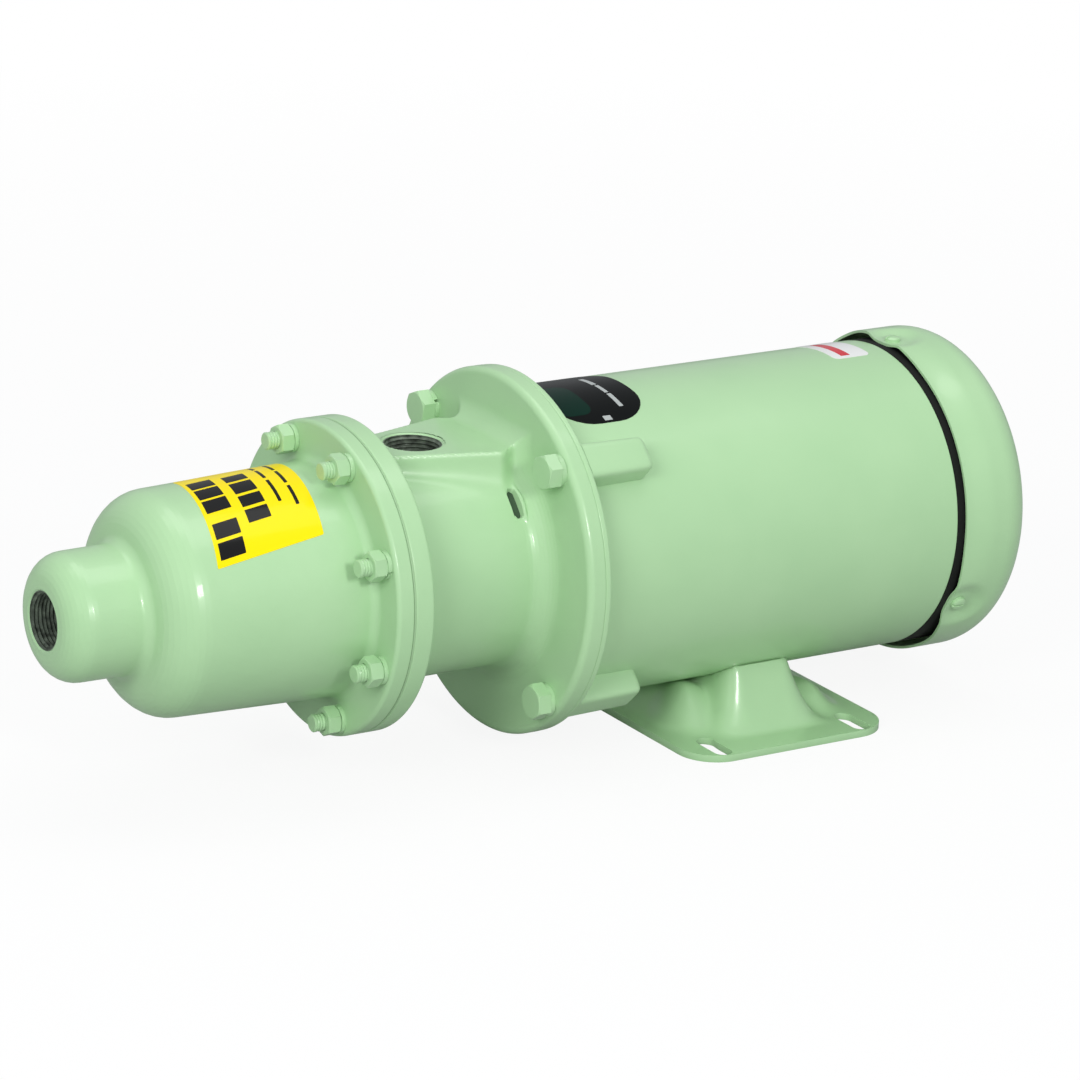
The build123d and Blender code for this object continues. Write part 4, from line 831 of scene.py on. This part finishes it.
def cover_radius(x, radius, turn):
    """Pulls the wall in by a smooth step of the distance from each dimple's middle."""
    for angle in DIMPLE_ANGLES:
        apart = np.mod(turn - angle + math.pi, 2 * math.pi) - math.pi
        away = np.hypot(x - DIMPLE_X, apart * COVER_RADIUS)
        pressed = smooth_step((DIMPLE_REACH - away) / (DIMPLE_REACH - DIMPLE_FLAT))
        radius = radius - DIMPLE_DEPTH * pressed * (x < COVER_X + 2 * DIMPLE_REACH)
    return radius


def set_back(grid):
    """Moves the open edge back between the far dimples and in between the near two: the
    share is a smooth step of the sine that is zero at each dimple, faded along the wall."""
    x, y, z = grid[..., 0], grid[..., 1], grid[..., 2] - AXIS_Z
    turn = np.mod(np.arctan2(z, y), 2 * math.pi)
    share = smooth_step(1.7 * np.abs(np.sin(1.5 * (turn - DIMPLE_ANGLES[0]))) - 0.2)
    share = share * smooth_step((COVER_X + EDGE_BLEND - x) / EDGE_BLEND)
    far_side = (turn < DIMPLE_ANGLES[0]) | (turn > DIMPLE_ANGLES[1])
    shrink = 1 - EDGE_PULLED_IN * share * ~far_side / COVER_RADIUS
    return stacked(x + EDGE_SET_BACK * share * far_side, y * shrink, AXIS_Z + z * shrink)


cover_outer = rounded_line([(COVER_X, COVER_RADIUS), (COVER_END_X, COVER_RADIUS),
                            (COVER_END_X, GRILLE_OUTER)], [0, COVER_ROUND, 0], 16)
cover_inner = rounded_line([(COVER_END_X - COVER_WALL, GRILLE_OUTER),
                            (COVER_END_X - COVER_WALL, COVER_RADIUS - COVER_WALL),
                            (COVER_X, COVER_RADIUS - COVER_WALL)],
                           [0, COVER_ROUND - COVER_WALL, 0], 16)
cover_line = closed(np.concatenate([dense(cover_outer, 1.2), dense(cover_inner, 1.2)]))


def slot_cell(inner, outer, slot_inner, slot_outer, count, columns=40):
    """One of count sectors of the grille plate with a stadium slot in its middle.

    Rows run from the slot's edge out to the sector's edge, and both are followed by the
    same angle about the slot's middle. The first row carries the slot's wall inwards.
    """
    turn = full_turn(columns)
    cosine, sine = np.cos(turn), np.sin(turn)
    middle = 0.5 * (slot_inner + slot_outer)
    reach = 0.5 * (slot_outer - slot_inner - GRILLE_SLOT)
    hole_u = middle + np.clip(cosine * 1e3, -reach, reach) + GRILLE_SLOT / 2 * cosine
    hole_v = GRILLE_SLOT / 2 * sine
    square = 1 / np.maximum(np.abs(cosine), np.abs(sine))
    share_u = cosine * square
    edge_r = middle + share_u * np.where(share_u > 0, outer - middle, middle - inner)
    edge_a = sine * square * math.pi / count
    share = np.array([0, 0, 0.12, 0.4, 0.7, 1.0])[:, None]
    level = np.array([COVER_WALL, 0, 0, 0, 0, 0])[:, None]
    return stacked(hole_u + share * (edge_r * np.cos(edge_a) - hole_u),
                   hole_v + share * (edge_r * np.sin(edge_a) - hole_v), level)


grille = [cell for row in GRILLE_ROWS
          for cell in on_circle(slot_cell(*row), COVER_END_X, 0.0, row[-1], 0.0)]
hub_disc = lathe(np.array([[COVER_END_X, 0.0], [COVER_END_X, GRILLE_HUB]]), 80)
cover = piece("fan_cover_skin", [set_back(lathe(cover_line, 360, cover_radius))])
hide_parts("fan_cover")
piece("fan_cover_grille", grille + [hub_disc])

# ---- Stamped base ----
# Heavy sheet pressed in one stroke: a saddle that rises to cradle the shell, a low lobe at
# each end, and a flat rim with four cross slots. The surface is the top of the sheet; its
# thickness is added downwards and its edges are worn.
base_low, base_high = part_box("motor_base")
BASE_MIDDLE_X = 0.5 * (base_low.x + base_high.x) / MM
BASE_HALF_X = 0.5 * (base_high.x - base_low.x) / MM
BASE_HALF_Y = 0.5 * (base_high.y - base_low.y) / MM
SHEET = 3.2
WORN_EDGE = 0.9
BASE_CORNER = 18.0
FOOT_X = 38.1
FOOT_Y = 61.9
FOOT_SLOT = 22.0
FOOT_SLOT_HALF = 4.35
CELL_X = FOOT_X - 10.0
CELL_Y = FOOT_Y - FOOT_SLOT / 2 - 3.0
BASE_STEP = 1.1
STRAIGHT = 0.6
LOBE_HEIGHT = 14.0
LOBE_LOWER = 5.0
POST_HEIGHT = 5.0
POST_LOWER = 3.5
SADDLE_X = BASE_MIDDLE_X - 2.0
SADDLE_HEIGHT = 40.0
FLAT_LIFT = 1.5
NO_SHELL = 99.0


def flank(value, start, end):
    """Goes smoothly from 1 at start to 0 at end."""
    return smooth_step((end - value) / (end - start))


def base_height(x, y):
    """Top of the sheet over the floor: flat rim, the lobes, the saddle and the shell limit.

    Lobes, posts and saddle are products of flanks along and across; the rear ones are lower.
    The fillet between them would lift the flat rim by FLAT_LIFT, which is taken off again.
    """
    along = np.abs(x - BASE_MIDDLE_X)
    across = np.abs(y)
    rear = smooth_step((x - BASE_MIDDLE_X) / 30.0 + 0.5)
    lobe = (LOBE_HEIGHT - LOBE_LOWER * rear) * flank(along, 33.0, 49.0) * flank(
        across, 30.0, 54.0)
    post = (POST_HEIGHT - POST_LOWER * rear) * flank(np.hypot(along - 34.0, across - 28.0),
                                                     1.0, 17.0)
    spread = flank(across, 34.0, 61.0)
    saddle = SADDLE_HEIGHT * spread * flank(np.abs(x - SADDLE_X), 11.0,
                                            16.0 + 20.0 * (1 - 0.35 * spread))
    shell = AXIS_Z - np.sqrt(np.maximum(SHELL_RADIUS ** 2 - y ** 2, 0.0)) - SHEET
    formed = smooth_max(lobe + post, saddle, 4 * FLAT_LIFT)
    formed = formed - FLAT_LIFT * flank(formed, FLAT_LIFT, 5 * FLAT_LIFT)
    formed = smooth_min(formed, np.where(across < SHELL_RADIUS, shell, NO_SHELL), 1.0)
    return SHEET + np.maximum(formed, 0.0)


def rim_point(x, y):
    """Moves points of the plate's square corner in to its rounded outline."""
    start_x, start_y = BASE_HALF_X - BASE_CORNER, BASE_HALF_Y - BASE_CORNER
    out_x, out_y = x - start_x, y - start_y
    in_corner = (out_x > 0) & (out_y > 0)
    scale = np.maximum(out_x, out_y) / np.maximum(np.hypot(out_x, out_y), 1e-6)
    return (np.where(in_corner, start_x + out_x * scale, x),
            np.where(in_corner, start_y + out_y * scale, y))


def base_patch(x, y):
    x = BASE_MIDDLE_X + x
    return stacked(x, y, base_height(x, y))


def steps(start, end):
    return np.linspace(start, end, int(round(abs(end - start) / BASE_STEP)) + 1)


middle_x, middle_y = steps(-CELL_X, CELL_X), steps(-CELL_Y, CELL_Y)
side_x, side_y = steps(CELL_X, BASE_HALF_X), steps(CELL_Y, BASE_HALF_Y)


def slot_patch(sign_x, sign_y, rows=12):
    """Corner cell with a cross slot: rows go from the slot's edge to the cell's edge.

    The cell's edge is walked once round in the blocks' own steps. Each of its points has a
    place on a square about the slot, and that place gives the point on the slot's edge:
    on the straight side up to the share STRAIGHT, and from there round the slot's end.
    """
    edge_x = np.concatenate([np.full(len(side_y) - 1, BASE_HALF_X), side_x[:0:-1],
                             np.full(len(side_y) - 1, CELL_X), side_x])
    edge_y = np.concatenate([side_y[:-1], np.full(len(side_x) - 1, BASE_HALF_Y),
                             side_y[:0:-1], np.full(len(side_x), CELL_Y)])
    part_x = (edge_x - FOOT_X) / np.where(edge_x > FOOT_X, BASE_HALF_X - FOOT_X, FOOT_X - CELL_X)
    part_y = (edge_y - FOOT_Y) / np.where(edge_y > FOOT_Y, BASE_HALF_Y - FOOT_Y, FOOT_Y - CELL_Y)
    round_end = np.clip(np.abs(part_y) - STRAIGHT, 0, None) + 1 - np.abs(part_x)
    arc = 0.5 * math.pi * round_end / (2 - STRAIGHT)
    straight = (0.5 * FOOT_SLOT - FOOT_SLOT_HALF) * np.minimum(np.abs(part_y) / STRAIGHT, 1.0)
    hole_x = FOOT_X + np.sign(part_x) * FOOT_SLOT_HALF * np.cos(arc)
    hole_y = FOOT_Y + np.sign(part_y) * (straight + FOOT_SLOT_HALF * np.sin(arc))
    edge_x, edge_y = rim_point(edge_x, edge_y)
    share = (np.linspace(0, 1, rows) ** 1.3)[:, None]
    return base_patch(sign_x * (hole_x + share * (edge_x - hole_x)),
                      sign_y * (hole_y + share * (edge_y - hole_y)))


base_grids = [base_patch(x[:, None], y[None]) for x, y in
              ((middle_x, middle_y), (side_x, middle_y), (-side_x[::-1], middle_y),
               (middle_x, side_y), (middle_x, -side_y[::-1]))]
base_grids += [slot_patch(sx, sy)[:, ::sx * sy] for sx in (-1, 1) for sy in (-1, 1)]
base = piece("motor_base_skin", base_grids, smooth=math.radians(50))
sheet = base.modifiers.new("sheet", "SOLIDIFY")
sheet.thickness = SHEET * MM
sheet.offset = -1.0
worn_edges = base.modifiers.new("edges", "BEVEL")
worn_edges.width = WORN_EDGE * MM
worn_edges.segments = 2
worn_edges.limit_method = "ANGLE"
worn_edges.angle_limit = math.radians(55)
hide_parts("motor_base")

# ---- Joint gasket ----
# Cut fibre sheet between the casing and the body flanges. Only its edge shows, under the
# same paint and a hair below the rims.
GASKET_INNER = 43.0
GASKET_RADIUS = FLANGE_RADIUS - 0.12
joint_gasket, tree, shader = bsdf_material("painted_gasket_edge", (0.33, 0.52, 0.29, 1), 0.6)
bump(tree, shader, noise(tree, 500.0), 0.00006)
gasket_line = np.array([[CASING_END_X, GASKET_INNER], [CASING_END_X, GASKET_RADIUS],
                        [BODY_X, GASKET_RADIUS], [BODY_X, GASKET_INNER]])
gasket = piece("joint_gasket", [lathe(closed(gasket_line), 200)], joint_gasket)
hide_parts("casing_gasket")

# ---- Conduit box ----
# Drawn steel box welded to the far side of the shell, open outwards, with a knockout for
# the conduit in its underside. A fibre gasket, a flat cover and four pan-head screws close it.
BOX_X = FACE_X + 78.0
BOX_HALF_X = 33.0
BOX_HALF_Z = 27.0
BOX_ROUND = 8.0
BOX_WALL = 3.0
BOX_RIM_Y = 100.8
BOX_GASKET = 1.2
BOX_COVER = 2.0
BOX_SCREWS = ((-26.5, -20.5), (26.5, -20.5), (26.5, 20.5), (-26.5, 20.5))
KNOCKOUT_RADIUS = 11.1
KNOCKOUT_RING = 2.6
KNOCKOUT_STANDS = 0.4
KNOCKOUT_Y = 85.95


def rounded_rectangle(half_a, half_b, corner, steps=10, longest=2.2):
    """Closed loop of points round a rectangle with arc corners."""
    turn = np.linspace(0, math.pi / 2, steps + 1)
    arcs = []
    for k, (sign_a, sign_b) in enumerate(((1, 1), (-1, 1), (-1, -1), (1, -1))):
        angle = turn + k * math.pi / 2
        arcs.append(np.stack([sign_a * (half_a - corner) + corner * np.cos(angle),
                              sign_b * (half_b - corner) + corner * np.sin(angle)], -1))
    return dense(closed(np.concatenate(arcs)), longest)


def box_wall(loop):
    """Wall along +Y from the curved shell, at the root of its radius squared less height
    squared, out to the flat rim, along the loop of the box's section."""
    shell_y = np.sqrt(SHELL_RADIUS ** 2 - loop[:, 1] ** 2) - 0.6
    y = shell_y + np.linspace(0, 1, 17)[:, None] * (BOX_RIM_Y - shell_y)
    return stacked(BOX_X + loop[:, 0], y, AXIS_Z + loop[:, 1])


def clear_of_knockout(middle):
    reach = np.hypot(middle[:, 0] - BOX_X, middle[:, 1] - KNOCKOUT_Y)
    return (reach > KNOCKOUT_RADIUS + 1.3) | (middle[:, 2] > AXIS_Z)


def resampled(points, count):
    """The line of points brought to a given count, evenly in their order."""
    share = np.linspace(0, 1, count)
    was = np.linspace(0, 1, len(points))
    return np.stack([np.interp(share, was, axis) for axis in points.T], -1)


box_outside = box_wall(rounded_rectangle(BOX_HALF_X, BOX_HALF_Z, BOX_ROUND))
box_inside = box_wall(rounded_rectangle(BOX_HALF_X - BOX_WALL, BOX_HALF_Z - BOX_WALL,
                                        BOX_ROUND - BOX_WALL))[::-1]
box_rim = np.stack([box_outside[-1], resampled(box_inside[0], box_outside.shape[1])])
ring_radius = KNOCKOUT_RADIUS + KNOCKOUT_RING
ring_top = BOX_WALL + KNOCKOUT_STANDS
knockout = spun_line([(KNOCKOUT_RADIUS, -KNOCKOUT_STANDS), (KNOCKOUT_RADIUS, ring_top),
                      (ring_radius, ring_top), (ring_radius, -KNOCKOUT_STANDS),
                      (KNOCKOUT_RADIUS, -KNOCKOUT_STANDS)], 80)
box = piece("conduit_box_skin", [box_outside, box_rim,
                                 np.array([BOX_X, KNOCKOUT_Y, AXIS_Z - BOX_HALF_Z]) + knockout],
            keep=clear_of_knockout)
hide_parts("conduit_box")
piece("conduit_box_inside", [box_inside], keep=clear_of_knockout)


def stacked_loops(half_a, half_b, rows):
    """Plate carried along +Y: each row is the loop drawn in by an inset, at a level."""
    loops = [rounded_rectangle(half_a - inset, half_b - inset, max(BOX_ROUND - inset, 0.5))
             for inset, _ in rows]
    count = min(len(loop) for loop in loops)
    sides = [resampled(stacked(BOX_X + loop[:, 0], level, AXIS_Z + loop[:, 1]), count)
             for loop, (_, level) in zip(loops, rows)]
    foot, top = (np.tile([[BOX_X, level, AXIS_Z]], (count, 1))
                 for level in (rows[0][1], rows[-1][1]))
    return np.stack([foot] + sides + [top])


lid_y = BOX_RIM_Y + BOX_GASKET
box_gasket = piece("conduit_gasket_skin", [stacked_loops(
    BOX_HALF_X - 0.3, BOX_HALF_Z - 0.3, ((0, BOX_RIM_Y), (0, lid_y)))],
    joint_gasket)
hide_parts("conduit_gasket")
lid = piece("conduit_lid", [stacked_loops(BOX_HALF_X, BOX_HALF_Z, (
    (0, lid_y), (0, lid_y + 1.0), (0.12, lid_y + 1.5), (0.5, lid_y + 1.86),
    (1.1, lid_y + BOX_COVER), (4.0, lid_y + BOX_COVER)))])
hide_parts("conduit_cover")


def driven_head(radius, height, blade, arms, columns=96, rows=22):
    """Pan head along +Z: a low dome, lowered along one slot or two crossed slots."""
    share = np.linspace(0, 1, rows)[:, None]
    turn = full_turn(columns)
    reach = radius * share + 0 * turn
    off_slot = np.abs(reach * np.sin(turn))
    length = 1.1 * radius
    if arms == 2:
        off_slot = np.minimum(off_slot, np.abs(reach * np.cos(turn)))
        length = 0.62 * radius
    cut = smooth_step((blade / 2 + 0.12 - off_slot) / 0.24) * smooth_step(
        (length - reach) / 0.3)
    level = height * (1 - 0.42 * share ** 4) - 0.55 * height * cut
    underneath = np.full((2, columns + 1), -0.2)
    return spun(np.concatenate([reach, reach[-1:], 0 * reach[:1]]),
                np.concatenate([level, underneath]), turn)


lid_head = driven_head(3.8, 1.8, 0.9, 2)
lid_screws = piece("conduit_lid_screws", [
    stacked(BOX_X + x + lid_head[..., 0], lid_y + BOX_COVER + lid_head[..., 2],
            AXIS_Z + z + lid_head[..., 1]) for x, z in BOX_SCREWS])
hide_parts("conduit_screws")

# ---- Fan cover screws ----
# Three slotted hexagon-washer screws, one in each dimple of the fan cover, driven into
# the rear bell and painted over.
cover_head = driven_head(3.6, 2.2, 0.8, 1)
screw_grids = []
for angle in DIMPLE_ANGLES:
    y, z = turned_by(SHELL_RADIUS + COVER_WALL + cover_head[..., 2], cover_head[..., 1], angle)
    screw_grids.append(stacked(DIMPLE_X + cover_head[..., 0], y, AXIS_Z + z))
cover_screws = piece("cover_screw_heads", screw_grids)
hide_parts("fan_cover_screws")

# ---- Labels ----
# Printed vinyl stickers wrapped round the shell and the barrel: a glossy black name plate,
# a small white plate with a red bar, and a yellow notice. Only plain bars are shown.
STICKER = 0.16
BAR = 0.05
BAR_ROUND = 0.3
STICKER_SPECULAR = 0.06
NOTICE_X = NOSE_X + 60.5
NOTICE_EDGE = math.radians(147.0)
LEAN_ALONG = 0.12
LEAN_AROUND = 0.15


def shell_radius_at(x):
    return np.full_like(x, SHELL_RADIUS)


def barrel_radius_at(x):
    slope = (BARREL_REAR_RADIUS - BARREL_FRONT_RADIUS) / (flange_x - barrel_x)
    return BARREL_FRONT_RADIUS + (x - barrel_x) * slope


def sticker(start, end, first, last, corner, radius_at, stands):
    """Patch wrapped on a round surface: the loop of a rounded rectangle, drawn together
    towards its middle in rows, at the surface's radius plus the sticker's thickness."""
    start, end = NOSE_X + start, NOSE_X + end
    middle_x = 0.5 * (start + end)
    arc = radius_at(np.array([middle_x]))[0]
    loop = rounded_rectangle(0.5 * (end - start), 0.5 * math.radians(last - first) * arc,
                             corner, 8, 1.2)
    share = np.concatenate([np.linspace(0, 1, 14), [1.0]])[:, None]
    x = middle_x + share * loop[:, 0]
    angle = math.radians(0.5 * (first + last)) + share * loop[:, 1] / arc
    radius = radius_at(x) + stands
    radius[-1] -= stands + 0.05
    return about_shaft(x, radius, angle)


def leaning(grid):
    """Shears the notice along and round the barrel, since it was stuck on by hand."""
    x = grid[..., 0]
    turn = np.arctan2(grid[..., 2] - AXIS_Z, grid[..., 1])
    radius = np.hypot(grid[..., 1], grid[..., 2] - AXIS_Z)
    moved = x + LEAN_ALONG * radius * (NOTICE_EDGE - turn)
    turn = turn - LEAN_AROUND * (x - NOTICE_X) / radius
    return about_shaft(moved, radius + barrel_radius_at(moved) - barrel_radius_at(x), turn)


NOTICE_LINES = [(start, end, first, last) for start, end, spans in (
    (62.5, 75.0, ((134.5, 143.5), (123.5, 132.5), (107.5, 116.5), (97.0, 106.0), (86.5, 95.5))),
    (80.0, 91.5, ((121.0, 129.0), (111.0, 119.0), (99.0, 109.0), (89.0, 97.0))),
    (97.5, 99.2, ((104.0, 122.0), (90.0, 101.5), (81.0, 88.0))),
    (105.0, 106.7, ((113.0, 127.0), (97.0, 110.5), (82.0, 95.0)))) for first, last in spans]
# Each row: piece, material, its colour, roughness and coat, the surface it is wrapped on, the
# layers under it, its corner, and its patches by start and end behind the nose and by angles.
STICKERS = (
    ("name_plate", "black_vinyl", (0.004, 0.005, 0.005, 1), 0.3, 0.0, shell_radius_at, 0,
     19.0, [(238, 286, 70, 116.5)]),
    ("name_plate_patch", "dark_green_ink", (0.002, 0.022, 0.014, 1), 0.3, 0.0,
     shell_radius_at, 1, 6.0, [(240, 258, 88, 111)]),
    ("name_plate_lines", "silver_ink", (0.42, 0.45, 0.44, 1), 0.3, 0.4, shell_radius_at, 2,
     BAR_ROUND, [(271.5, 274, 82, 91), (272, 274, 92, 99), (272, 274.2, 100, 109),
                 (260, 264, 113, 115.4)]),
    ("small_plate", "white_vinyl", (0.80, 0.80, 0.79, 1), 0.3, 0.4, shell_radius_at, 0,
     3.0, [(399, 419, 71, 98)]),
    ("small_plate_bar", "red_ink", (0.62, 0.02, 0.035, 1), 0.3, 0.4, shell_radius_at, 1,
     BAR_ROUND, [(404, 409, 76, 96)]),
    ("notice", "yellow_vinyl", (0.95, 0.74, 0.003, 1), 0.32, 0.2, barrel_radius_at, 0,
     0.8, [(60.5, 113.5, 75.0, 147.0)]),
    ("notice_lines", "black_ink", (0.008, 0.008, 0.008, 1), 0.35, 0.3, barrel_radius_at, 1,
     BAR_ROUND, NOTICE_LINES),
)
for name, called, colour, roughness, coat, radius_at, layers, corner, patches in STICKERS:
    vinyl, tree, shader = bsdf_material(called, colour, roughness, coat=coat)
    shader.inputs["Specular IOR Level"].default_value = STICKER_SPECULAR
    bump(tree, shader, noise(tree, 120.0, 1.0), 0.00003, 0.5)
    grids = [sticker(*patch, corner, radius_at, STICKER + layers * BAR) for patch in patches]
    if radius_at is barrel_radius_at:
        grids = [leaning(grid) for grid in grids]
    piece(name, grids, vinyl)

# ---- Machined and inner pieces ----
# What the openings show of the inside keeps its modelled shape. Each row: the material with
# its colour, roughness, metallic and coat, its grain as scale, detail and stretch, the
# relief's height in metres, and its nodes. The turned steel has uneven gloss instead.
INNER = (
    (("turned_steel", (0.50, 0.51, 0.52, 1), 0.3, 1.0), (90.0, 3.0, (14.0, 1.0, 1.0)), None,
     ("stator_tube", "stator_support_ring", "seal_spring", "seal_retainer", "pump_shaft",
      "shaft_key", "drive_pin", "drive_pin_sleeve", "connecting_rod", "rotor", "rotor_pin",
      "rotor_pin_sleeve", "motor_shaft", "wave_washer", "front_bearing_outer",
      "front_bearing_inner", "front_bearing_balls", "front_bearing_cage",
      "rear_bearing_outer", "rear_bearing_inner", "rear_bearing_balls",
      "rear_bearing_cage")),
    (("blackened_steel", (0.05, 0.05, 0.055, 1), 0.42, 0.9), (400.0,), 0.00003,
     ("stator_snap_ring", "shaft_set_screws", "motor_tie_bolts")),
    (("stacked_laminations", (0.20, 0.205, 0.22, 1), 0.45, 0.9),
     (300.0, 0.0, (9.0, 0.1, 0.1)), 0.0001, ("motor_core", "motor_rotor_core")),
    (("die_cast_aluminium", (0.60, 0.61, 0.62, 1), 0.5, 0.9), (240.0,), 0.0001,
     ("rotor_cage",)),
    (("varnished_copper", (0.42, 0.13, 0.045, 1), 0.3, 0.5, 0.6),
     (200.0, 2.0, (1.0, 6.0, 6.0)), 0.0004, ("motor_windings",)),
    (("moulded_rubber", (0.012, 0.012, 0.012, 1), 0.62), (600.0,), 0.00004,
     ("stator_liner", "seal_seat_cup", "slinger")),
    (("lapped_carbon", (0.03, 0.03, 0.032, 1), 0.35, 0.2), (900.0,), 0.00001, ("seal_head",)),
    (("lapped_ceramic", (0.82, 0.78, 0.68, 1), 0.25), (900.0,), 0.00001, ("seal_seat",)),
    (("fan_plastic", (0.02, 0.02, 0.021, 1), 0.5), (700.0,), 0.00003, ("cooling_fan",)),
    (("bearing_bronze", (0.58, 0.36, 0.12, 1), 0.35, 1.0), (400.0,), 0.00003, ("rod_bushes",)),
    # The rear bell's near-black is painted shade under the fan cover.
    (("shadowed_bell", (0.002, 0.003, 0.002, 1), 0.9), (250.0,), 0.0001, ("motor_rear_bell",)),
)
for look, grain, relief, names in INNER:
    material, tree, shader = bsdf_material(*look)
    if relief is None:
        tree.links.new(between(tree, noise(tree, *grain), grey(0.24), grey(0.40)),
                       shader.inputs["Roughness"])
    else:
        bump(tree, shader, noise(tree, *grain), relief)
    for name in names:
        for place in nodes[name].material_slots:
            place.material = material
